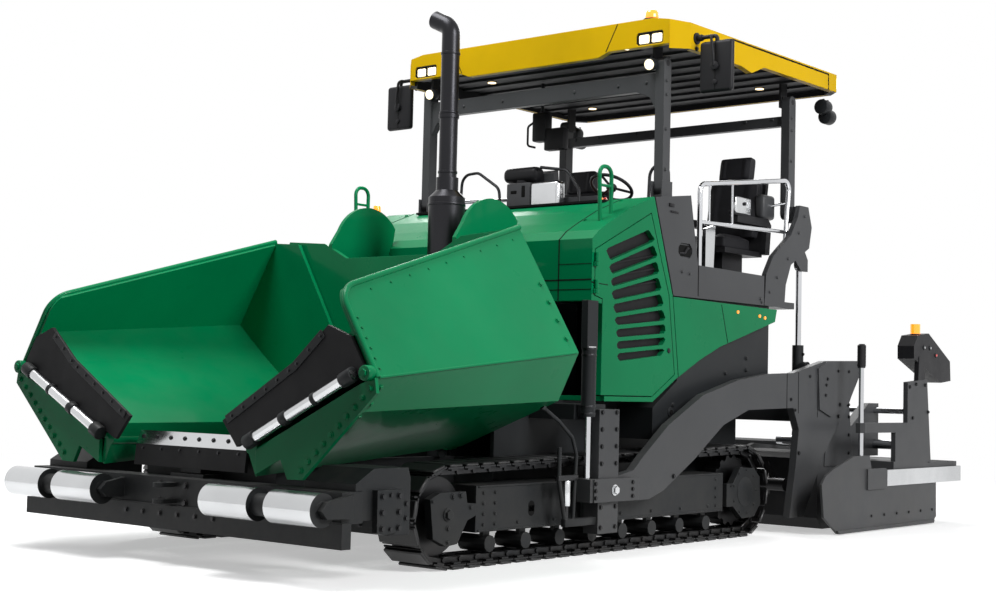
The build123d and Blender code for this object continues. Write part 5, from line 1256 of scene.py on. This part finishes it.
# ---------------------------------------------------------------- platform
class PAVER_OT_platform(bpy.types.Operator):
    """Set the wheel, hoops, panels and boxes of the driver's platform"""

    bl_idname = "paver.platform"
    bl_label = "Platform"

    def execute(self, context):
        hoop = settings("paver_hardware").hoop
        piece = Piece("platform_controls")
        for sign in (1, -1):
            on = mirrored(sign)
            # control panel by the outer armrest, and its joystick
            piece.block(on(-1.98, 1.025, 2.455), on(-1.80, 1.065, 2.485), "plastic", 0.006)
            piece.rod(on(-1.86, 1.045, 2.48), on(-1.85, 1.045, 2.56), 0.009, "plastic", segments=10)
            piece.rod(
                on(-1.85, 1.045, 2.555), on(-1.848, 1.045, 2.60), 0.022, "plastic", segments=20,
                end_radius=0.016, soft=0.006,
            )
            # uprights in the rail, a bright kick panel, and the boxes held by the outer armrest and the rail
            for x, low, high in ((-1.25, 2.325, 2.612), (-1.575, 2.337, 2.658)):
                piece.rod(on(x, RAIL_Y, low), on(x, RAIL_Y, high), 0.008, "chrome", segments=12)
            outline = ((-1.43, 1.74), (-1.43, 2.307), (-1.566, 2.347), (-1.53, 1.74))
            piece.sheet([on(x, 1.06, z) for x, z in outline], (0, -sign * 0.03, 0), "bright")
            piece.block(on(-1.845, 1.022, 2.468), on(-2.080, 1.068, 2.600), "bright", 0.012, 3)
            piece.rod(
                on(-1.97, 1.066, 2.55), on(-1.97, 1.080, 2.55), 0.014, "plastic", segments=20, soft=0.003
            )
            piece.block(on(-2.24, 1.00, 2.462), on(-2.43, 1.085, 2.660), "gray", 0.030, 3)
            piece.rod(on(-2.36, 1.06, 2.57), on(-2.419, RAIL_Y, 2.60), 0.010, "chrome", segments=12)
        # cabinet on the shroud with its hood, and the hoops beside it
        piece.block(at(-1.02, -0.475, 2.44), at(-0.915, -0.240, 2.685), "gray", 0.012)
        piece.block(at(-1.02, -0.240, 2.44), at(-0.915, 0.040, 2.685), "bright", 0.030, 4)
        piece.block(at(-1.06, -0.540, 2.695), at(-0.93, -0.190, 2.815), "plastic", 0.050, 5)
        piece.rod(at(-0.995, -0.36, 2.67), at(-0.995, -0.36, 2.71), 0.06, "plastic", segments=24)
        piece.block(at(-0.917, -0.43, 2.60), at(-0.9125, -0.37, 2.625), "gap", 0.003)
        piece.block(at(-0.917, -0.32, 2.57), at(-0.9125, -0.285, 2.66), "gap", 0.003)
        for points in (
            ((-0.99, SHROUD_TOP), (-0.97, 2.79), (-0.80, 2.80), (-0.58, 2.66), (-0.56, SHROUD_TOP)),
            ((0.86, SHROUD_TOP), (0.87, 2.73), (1.03, 2.745), (1.04, SHROUD_TOP)),
            ((-0.16, 2.80), (0.10, 2.76), (0.22, 2.60), (0.22, SHROUD_TOP)),
        ):
            piece.tube([at(-0.95, y, z) for y, z in points], hoop, "steel", 0.09)
        # wheel on its column
        hub = at(-1.22, 0.33, 2.64)
        tilt = Quaternion((0, 1, 0), math.radians(-30))
        piece.rod(at(-1.27, 0.28, 2.53), hub, 0.022, "plastic", segments=16)
        ring = [
            hub + tilt @ Vector((0.165 * math.cos(a), 0.165 * math.sin(a), 0))
            for a in [2 * math.pi * k / 40 for k in range(41)]
        ]
        piece.tube(ring, 0.013, "plastic", 0.0, 10)
        for k in range(3):
            a = 2 * math.pi * k / 3
            piece.rod(
                hub, hub + tilt @ Vector((0.16 * math.cos(a), 0.16 * math.sin(a), 0)), 0.010, "plastic",
                segments=10,
            )
        piece.rod(
            hub - tilt @ Vector((0, 0, 0.02)), hub + tilt @ Vector((0, 0, 0.02)), 0.04, "plastic",
            segments=24, soft=0.008,
        )
        low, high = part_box("console")
        piece.block((low.x + 0.04, -0.29, 2.557), (high.x - 0.06, -0.06, 2.572), "glass", 0.004)
        # knobs in the amber and red lens finishes glow: painted glow on knobs that are no lamps
        for row in range(3):
            for k in range(7):
                x, y = low.x + 0.08 + row * 0.06, 0.05 + k * 0.035
                piece.rod(
                    (x, y, 2.556), (x, y, 2.570), 0.010, ("amber", "red", "bright")[(row + k) % 3],
                    segments=12, soft=0.002,
                )
        piece.hand_over("tractor")
        return {"FINISHED"}


class PAVER_OT_seats(bpy.types.Operator):
    """Upholster the seats: crowned pads with bolsters and sewn channels"""

    bl_idname = "paver.seats"
    bl_label = "Seats"

    def pad(self, name, middle, size, turn, crown, channels, squeeze=0.025):
        piece = Piece(name)
        matrix = Matrix.Translation(middle) @ turn.to_matrix().to_4x4()
        bmesh.ops.create_cube(piece.bm, size=2)
        bmesh.ops.subdivide_edges(piece.bm, edges=piece.bm.edges, cuts=17, use_grid_fill=True)
        half = Vector(size) / 2
        for vert in piece.bm.verts:
            u, v, w = vert.co
            rim = 1 - 0.13 * abs(w) ** 6
            waist = 1 - squeeze * (1 - w * w)
            x = u * (rim * waist if abs(u) > 0.99 else rim) * (1 - 0.04 * abs(v) ** 6)
            y = v * (rim * waist if abs(v) > 0.99 else rim) * (1 - 0.04 * abs(u) ** 6)
            z = w * (1 - 0.09 * (abs(u) ** 6 + abs(v) ** 6) * w * w)
            if w > 0.5:
                dome = (1 - u * u) * (1 - v * v)
                bolster = math.exp(-(((abs(v) - 0.78) / 0.16) ** 2)) * (1 - u**8)
                groove = sum(math.exp(-(((u - c) / 0.035) ** 2)) for c in channels) if abs(v) < 0.6 else 0
                seam = math.exp(-(((abs(v) - 0.58) / 0.035) ** 2)) * (1 - u**10)
                z -= crown * (1 - dome * 0.6 - bolster * 0.75) + 0.06 * groove + 0.09 * seam
            vert.co = matrix @ Vector((x * half.x, y * half.y, z * half.z))
        piece.paint("seat")
        return piece

    def execute(self, context):
        seat_x, seat_y = SEAT
        level = Quaternion((0, 1, 0), 0.0)
        lean = Quaternion((0, 1, 0), math.radians(80))
        for side, sign in SIDES:
            y = sign * seat_y
            for name, middle, size, turn, crown, channels in (
                (
                    "seat_pan", at(seat_x + 0.045, y, 2.252), (0.41, 0.46, 0.135), level, 0.28,
                    (-0.45, 0.0, 0.45),
                ),
                (
                    "seat_back", at(seat_x - 0.258, y, 2.545), (0.50, 0.46, 0.125), lean, 0.28,
                    (-0.5, -0.1, 0.3),
                ),
                ("head_rest", at(seat_x - 0.300, y, 2.877), (0.20, 0.30, 0.105), lean, 0.25, ()),
            ):
                piece = self.pad(f"{name}_{side}", middle, size, turn, crown, channels)
                obj = piece.hand_over(
                    "tractor", [f"seat_cushion_{side}"] if name == "seat_pan" else [], sharp=180
                )
                smooth = obj.modifiers.new("Rounding", "SUBSURF")
                smooth.levels = smooth.render_levels = 1
            trim = Piece(f"seat_trim_{side}")
            for offset in (-0.06, 0.06):
                trim.rod(
                    at(seat_x - 0.295, y + offset, 2.74), at(seat_x - 0.300, y + offset, 2.84), 0.007,
                    "bright", segments=10,
                )
            trim.block(
                at(seat_x - 0.27, y - 0.20, 2.165), at(seat_x + 0.23, y + 0.20, 2.192), "plastic", 0.008
            )
            for offset in (0.265, -0.265):
                trim.block(
                    at(seat_x - 0.30, y + sign * offset - 0.022, 2.452),
                    at(seat_x + 0.15, y + sign * offset + 0.022, 2.466), "seat", 0.006,
                )
            trim.hand_over("tractor")
        return {"FINISHED"}


# ---------------------------------------------------------------- push beam, columns and cylinders
class PAVER_OT_push_beam(bpy.types.Operator):
    """Bolt the push beam and its side plates, and cap the rollers' ends"""

    bl_idname = "paver.push_beam"
    bl_label = "Push beam"

    def execute(self, context):
        piece = Piece("push_beam_bolts")
        for sign in (1, -1):
            piece.front_bolts("push_beam", sign, (0.62, 0.46), (1.30, 0.46), 4, "steel", 0.015)
            piece.front_bolts("push_beam", sign, (0.12, 0.46), (0.12, 0.36), 2, "steel", 0.018)
            piece.front_bolts("push_beam", sign, (0.08, 0.29), (0.40, 0.29), 3, "steel", 0.014)
        piece.hand_over("push_beam")
        piece = Piece("beam_end_bolts")
        for sign in (1, -1):
            side = Vector((0, -sign, 0))
            for x in (2.26, 2.39):
                piece.side_bolts("push_beam_ends", sign, (x, 0.47), (x, 0.295), 3, "steel", 0.016)
            piece.side_bolts("push_beam_ends", sign, (2.325, 0.475), (2.325, 0.29), 2, "steel", 0.012)
            piece.side_bolts("push_beam_ends", sign, (2.16, 0.42), (2.16, 0.34), 2, "steel", 0.014)
            piece.front_bolts("push_beam_ends", sign, (1.05, 0.30), (1.34, 0.30), 3, "steel", 0.014)
        piece.hand_over("tractor")
        for side, sign in SIDES:
            on = mirrored(sign)
            piece = Piece(f"roller_caps_{side}")
            x, z = ROLLER
            for y, out in ((1.4, 1), (0.5, -1)):
                spot = on(x, y, z)
                way = Vector((0, sign * out, 0))
                piece.rod(spot - way * 0.02, spot + way * 0.0012, 0.050, "dark", segments=32)
                piece.bolt(spot, way, "steel", 0.014)
            piece.hand_over(f"push_roller_{side}")
        return {"FINISHED"}


class PAVER_OT_tow_gear(bpy.types.Operator):
    """Bolt the tow columns, sliders and lift cylinders, and set the bands and stay rods beside them"""

    bl_idname = "paver.tow_gear"
    bl_label = "Tow gear"

    def execute(self, context):
        piece = Piece("tow_column_bolts")
        sliders = Piece("tow_slider_bolts")
        for sign in (1, -1):
            side = Vector((0, -sign, 0))
            for x in (0.19, 0.35):
                piece.side_bolts("tow_columns", sign, (x, 0.93), (x, 0.60), 4, "steel", 0.013)
                piece.side_bolts("tow_columns", sign, (x, 0.32), (x, 0.19), 2, "steel", 0.013)
            x, y = LEVELLING[0], sign * LEVELLING[1]
            for z in (0.915, 0.96, 1.29, 1.33):
                piece.rod(at(x, y, z), at(x, y, z + 0.014), 0.0505, "steel", segments=32, soft=0.002)
            piece.rod(at(x, y, 1.345), at(x, y, 1.352), 0.046, "bright", segments=32)
            # stay rods ahead of the column, on a bracket at its foot
            y = sign * 1.385
            piece.tube(
                [
                    at(x, y, z)
                    for x, z in ((0.92, 0.955), (0.765, 0.873), (0.621, 0.769), (0.575, 0.66), (0.60, 0.235))
                ],
                0.012,
                "dark",
                0.06,
            )
            piece.tube(
                [at(x, y, z) for x, z in ((0.752, 0.71), (0.752, 0.50), (0.68, 0.235))], 0.014, "dark", 0.06
            )
            piece.rod(at(0.92, y, 0.955), at(0.94, y, 0.967), 0.020, "steel", segments=16, soft=0.004)
            piece.block(at(0.370, y - sign * 0.02, 0.21), at(0.700, y + sign * 0.02, 0.26), "dark", 0.006)
            piece.block(at(0.570, y - sign * 0.016, 0.50), at(0.775, y + sign * 0.018, 0.535), "steel", 0.006)
            piece.rod(at(0.672, y, 0.34), at(0.672, y, 0.50), 0.026, "bright", segments=24, soft=0.004)
            piece.rod(at(0.672, y, 0.26), at(0.672, y, 0.35), 0.014, "steel", segments=16)
            for x in (0.045, 0.455):
                sliders.side_bolts("tow_sliders", sign, (x, 0.475), (x, 0.385), 3, "steel", 0.012)
            sliders.side_bolts("tow_sliders", sign, (0.25, 0.43), (0.25, 0.43), 1, "bright", 0.028)
        piece.hand_over("tractor")
        sliders.hand_over("tow_sliders")
        for side, sign in SIDES:
            piece = Piece(f"lift_bands_{side}")
            low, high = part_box(f"lift_barrel_{side}")
            middle = (low + high) / 2
            for share in (0.12, 0.88):
                spot = Vector((middle.x, middle.y, low.z + (high.z - low.z) * share))
                place, normal = touch(f"lift_barrel_{side}", spot + Vector((0, sign * 0.5, 0)), (0, -sign, 0))
                if place is not None:
                    piece.bolt(place, normal, "steel", 0.012)
            piece.hand_over(f"lift_barrel_{side}")
        return {"FINISHED"}


# ---------------------------------------------------------------- screed
class PAVER_OT_screed(bpy.types.Operator):
    """Bolt the screed's arms, plates and end gates, and fit its lamps and knobs"""

    bl_idname = "paver.screed"
    bl_label = "Screed"

    def execute(self, context):
        piece = Piece("screed_bolts")
        for side, sign in SIDES:
            on = mirrored(sign)
            out = Vector((0, -sign, 0))
            arm = f"screed_arm_{side}"
            # start, end and count of the rows along the arm and up its plate
            rows = (
                ((0.22, 0.40), (0.22, 0.46), 2), ((-0.10, 0.46), (-2.30, 0.62), 6),
                ((-2.95, 1.00), (-2.95, 0.62), 5), ((-3.12, 1.00), (-3.12, 0.62), 5),
            )
            for start, end, count in rows:
                piece.side_bolts(arm, sign, start, end, count, "steel", 0.014)
            piece.side_bolts("screed", sign, (-3.25, 0.90), (-3.25, 0.30), 5, "steel", 0.012)
            for x, top, bottom in ((-2.105, 1.235, 0.96), (-2.285, 1.245, 0.93), (-2.596, 1.262, 0.90)):
                place, normal = touch(arm, on(x, BESIDE, (top + bottom) / 2), out)
                if place is not None:
                    piece.seam(
                        [Vector((place.x, place.y, top)), Vector((place.x, place.y, bottom))], normal,
                        width=0.007,
                    )
            for x, z in (
                (-2.467, 1.218), (-2.736, 1.203), (-2.707, 1.073), (-2.716, 1.155), (-2.918, 1.27),
                (-3.10, 1.27), (-2.17, 1.035), (-2.237, 0.952),
            ):
                piece.side_bolts(arm, sign, (x, z), (x, z), 1, "steel", 0.011)
        for k in range(9):
            y = -1.2 + k * 0.3
            piece.bolt_surface("screed", at(-2.2, y, 0.42), at(-2.2, y, 0.42), 1, (-1, 0, 0), "steel", 0.012)
        piece.hand_over("screed")
        for side, sign in SIDES:
            on = mirrored(sign)
            out = Vector((0, -sign, 0))
            extension = f"screed_extension_{side}"
            piece = Piece(f"extension_hardware_{side}")
            for x, z in ((-3.74, 1.16), (-3.86, 1.185), (-4.04, 1.18), (-4.10, 0.95), (-3.80, 0.90)):
                piece.side_bolts(extension, sign, (x, z), (x, z), 1, "steel", 0.013)
            for z, radius in SCREED_TUBES:
                piece.rod(
                    on(TUBE_X, 1.588, z), on(TUBE_X, 1.602, z), radius, "steel", segments=32, soft=0.003
                )
            # control box: bezel, knobs and its lamp's foot; the red knob glows, a painted glow on a knob that
            # is no lamp
            for x, z in ((-4.02, 1.50), (-4.14, 1.50), (-4.26, 1.44)):
                place, normal = touch(extension, on(x, BESIDE, z), out)
                if place is not None:
                    piece.rod(
                        place - normal * 0.002, place + normal * 0.006, 0.020, "dark", segments=20, soft=0.003
                    )
                    piece.rod(
                        place, place + normal * 0.011, 0.010, "red" if x < -4.2 else "bright", segments=16
                    )
            piece.rod(
                on(BOX_LAMP[0], BOX_LAMP[1], 1.596), on(BOX_LAMP[0], BOX_LAMP[1], 1.618), 0.045, "plastic",
                segments=32, soft=0.004,
            )
            piece.hand_over(f"screed_extension_{side}")
            gate = f"end_gate_{side}"
            piece = Piece(f"gate_bolts_{side}")
            piece.side_bolts(gate, sign, (-3.00, 0.12), (-4.60, 0.12), 8, "steel", 0.010)
            for k in range(6):
                z = 1.34 + k * 0.024
                piece.rod(
                    on(SPINDLE[0], SPINDLE[1], z), on(SPINDLE[0], SPINDLE[1], z + 0.010), 0.0345, "plastic",
                    segments=24,
                )
            piece.rod(
                on(SPINDLE[0], SPINDLE[1], 1.298), on(SPINDLE[0], SPINDLE[1], 1.312), 0.030, "steel",
                segments=24, soft=0.002,
            )
            piece.hand_over(gate)
        return {"FINISHED"}


def seen_rays(tree):
    """A value that is 1 for rays from the camera, from mirrors and through glass."""
    path = add_node(tree, "ShaderNodeLightPath")
    either = maths(tree, "MAXIMUM", path.outputs["Is Camera Ray"], path.outputs["Is Glossy Ray"])
    return maths(tree, "MAXIMUM", either.outputs[0], path.outputs["Is Transmission Ray"]).outputs[0]


class PAVER_OT_stage(bpy.types.Operator):
    """Lay the pale floor, hang the soft lamps and set the camera"""

    bl_idname = "paver.stage"
    bl_label = "Studio"

    def execute(self, context):
        stage = settings("paver_stage")
        scene = context.scene
        scene.view_settings.view_transform = "Standard"
        material, tree, shader = blank_material("Studio floor")
        shader.inputs["Base Color"].default_value = (
            stage.floor_shade, stage.floor_shade, stage.floor_shade, 1
        )
        shader.inputs["Roughness"].default_value = 0.9
        shader.inputs["Specular IOR Level"].default_value = 0.0
        shader.inputs["Emission Color"].default_value = (1, 1, 1, 1)
        shader.inputs["Emission Strength"].default_value = stage.floor_lift
        place = add_node(tree, "ShaderNodeTexCoord")
        away = add_node(tree, "ShaderNodeVectorMath", [(0, place.outputs["Object"])], operation="LENGTH")
        far = add_node(
            tree, "ShaderNodeMapRange", [(0, away.outputs["Value"])], at={1: 5.5, 2: 11.0},
            interpolation_type="SMOOTHSTEP",
        )
        white = add_node(tree, "ShaderNodeEmission", at={"Color": (1, 1, 1, 1), "Strength": 1.0})
        seen = add_node(
            tree, "ShaderNodeMixShader", [(0, far.outputs[0]), (1, shader.outputs[0]), (2, white.outputs[0])]
        )
        dim = add_node(
            tree, "ShaderNodeBsdfDiffuse",
            at={"Color": (stage.floor_bounce, stage.floor_bounce, stage.floor_bounce, 1)},
        )
        rays = seen_rays(tree)
        mix = add_node(tree, "ShaderNodeMixShader", [(0, rays), (1, dim.outputs[0]), (2, seen.outputs[0])])
        tree.links.new(mix.outputs[0], tree.nodes["Material Output"].inputs[0])
        bm = bmesh.new()
        bmesh.ops.create_grid(bm, x_segments=2, y_segments=2, size=80)
        mesh = bpy.data.meshes.new("Floor")
        bm.to_mesh(mesh)
        bm.free()
        mesh.materials.append(material)
        floor = bpy.data.objects.new("Floor", mesh)
        scene.collection.objects.link(floor)

        world = bpy.data.worlds.new("Studio")
        scene.world = world
        world.use_nodes = True
        tree = world.node_tree
        back = tree.nodes["Background"]
        back.inputs[0].default_value = (0.75, 0.77, 0.8, 1)
        back.inputs[1].default_value = 0.13
        seen = add_node(tree, "ShaderNodeBackground", at={0: (1, 1, 1, 1), 1: 1.0})
        mix = add_node(
            tree, "ShaderNodeMixShader", [(0, seen_rays(tree)), (1, back.outputs[0]), (2, seen.outputs[0])]
        )
        tree.links.new(mix.outputs[0], tree.nodes["World Output"].inputs[0])

        # name, place, aim, size, watts
        lamps = [
            ("Key", (4.0, -1.5, 10.5), (0.5, 0, 1.5), 5.0, 880),
            ("Side", (1.5, 12.0, 7.0), (-0.5, 1.0, 1.3), 5.0, 1200),
            ("Rim", (-8.0, -6.0, 8.0), (0, 0, 2.0), 6.0, 700),
        ]
        for name, place, aim, size, watts in lamps:
            data = bpy.data.lights.new(name, "AREA")
            data.energy = watts
            data.size = size
            lamp = bpy.data.objects.new(name, data)
            lamp.location = place
            lamp.rotation_mode = "QUATERNION"
            lamp.rotation_quaternion = (Vector(aim) - Vector(place)).to_track_quat("-Z", "Y")
            scene.collection.objects.link(lamp)

        yaw, pitch, roll = stage.camera_yaw, stage.camera_pitch, stage.camera_roll
        ahead = Vector((-math.cos(yaw) * math.cos(pitch), -math.sin(yaw) * math.cos(pitch), math.sin(pitch)))
        right = Vector((-math.sin(yaw), math.cos(yaw), 0))
        up = right.cross(ahead)
        turned_right = right * math.cos(roll) + up * math.sin(roll)
        turned_up = up * math.cos(roll) - right * math.sin(roll)
        data = bpy.data.cameras.new("Camera")
        data.lens = stage.lens
        data.sensor_width = 36
        data.clip_end = 300
        camera = bpy.data.objects.new("Camera", data)
        axes = Matrix((turned_right, turned_up, -ahead)).transposed().to_4x4()
        camera.matrix_world = Matrix.Translation(Vector(stage.camera_place)) @ axes
        scene.collection.objects.link(camera)
        scene.camera = camera
        return {"FINISHED"}


SETTINGS = [PaverPaintSettings, PaverHardwareSettings, PaverStageSettings]
OPERATORS = [
    PAVER_OT_finishes,
    PAVER_OT_tracks,
    PAVER_OT_track_frames,
    PAVER_OT_hopper,
    PAVER_OT_conveyor,
    PAVER_OT_hood,
    PAVER_OT_side_panels,
    PAVER_OT_exhaust,
    PAVER_OT_roof_lamps,
    PAVER_OT_mirrors,
    PAVER_OT_posts,
    PAVER_OT_platform,
    PAVER_OT_seats,
    PAVER_OT_push_beam,
    PAVER_OT_tow_gear,
    PAVER_OT_screed,
    PAVER_OT_stage,
]


class PAVER_PT_panel(bpy.types.Panel):
    """Lists the paver's settings and pieces"""

    bl_label = "Paver"
    bl_space_type = "VIEW_3D"
    bl_region_type = "UI"
    bl_category = "Paver"

    def draw(self, context):
        for group in ("paver_paint", "paver_hardware", "paver_stage"):
            owner = getattr(context.scene, group)
            for key in owner.bl_rna.properties.keys():
                if key not in ("rna_type", "name"):
                    self.layout.prop(owner, key)
        for operator in OPERATORS:
            self.layout.operator(operator.bl_idname)


def register():
    for cls in (*SETTINGS, *OPERATORS, PAVER_PT_panel):
        bpy.utils.register_class(cls)
    bpy.types.Scene.paver_paint = bpy.props.PointerProperty(type=PaverPaintSettings)
    bpy.types.Scene.paver_hardware = bpy.props.PointerProperty(type=PaverHardwareSettings)
    bpy.types.Scene.paver_stage = bpy.props.PointerProperty(type=PaverStageSettings)


def unregister():
    del bpy.types.Scene.paver_paint
    del bpy.types.Scene.paver_hardware
    del bpy.types.Scene.paver_stage
    for cls in reversed((*SETTINGS, *OPERATORS, PAVER_PT_panel)):
        bpy.utils.unregister_class(cls)


def main():
    register()
    for operator in OPERATORS:
        group, name = operator.bl_idname.split(".")
        getattr(getattr(bpy.ops, group), name)()


if __name__ == "__main__":
    main()
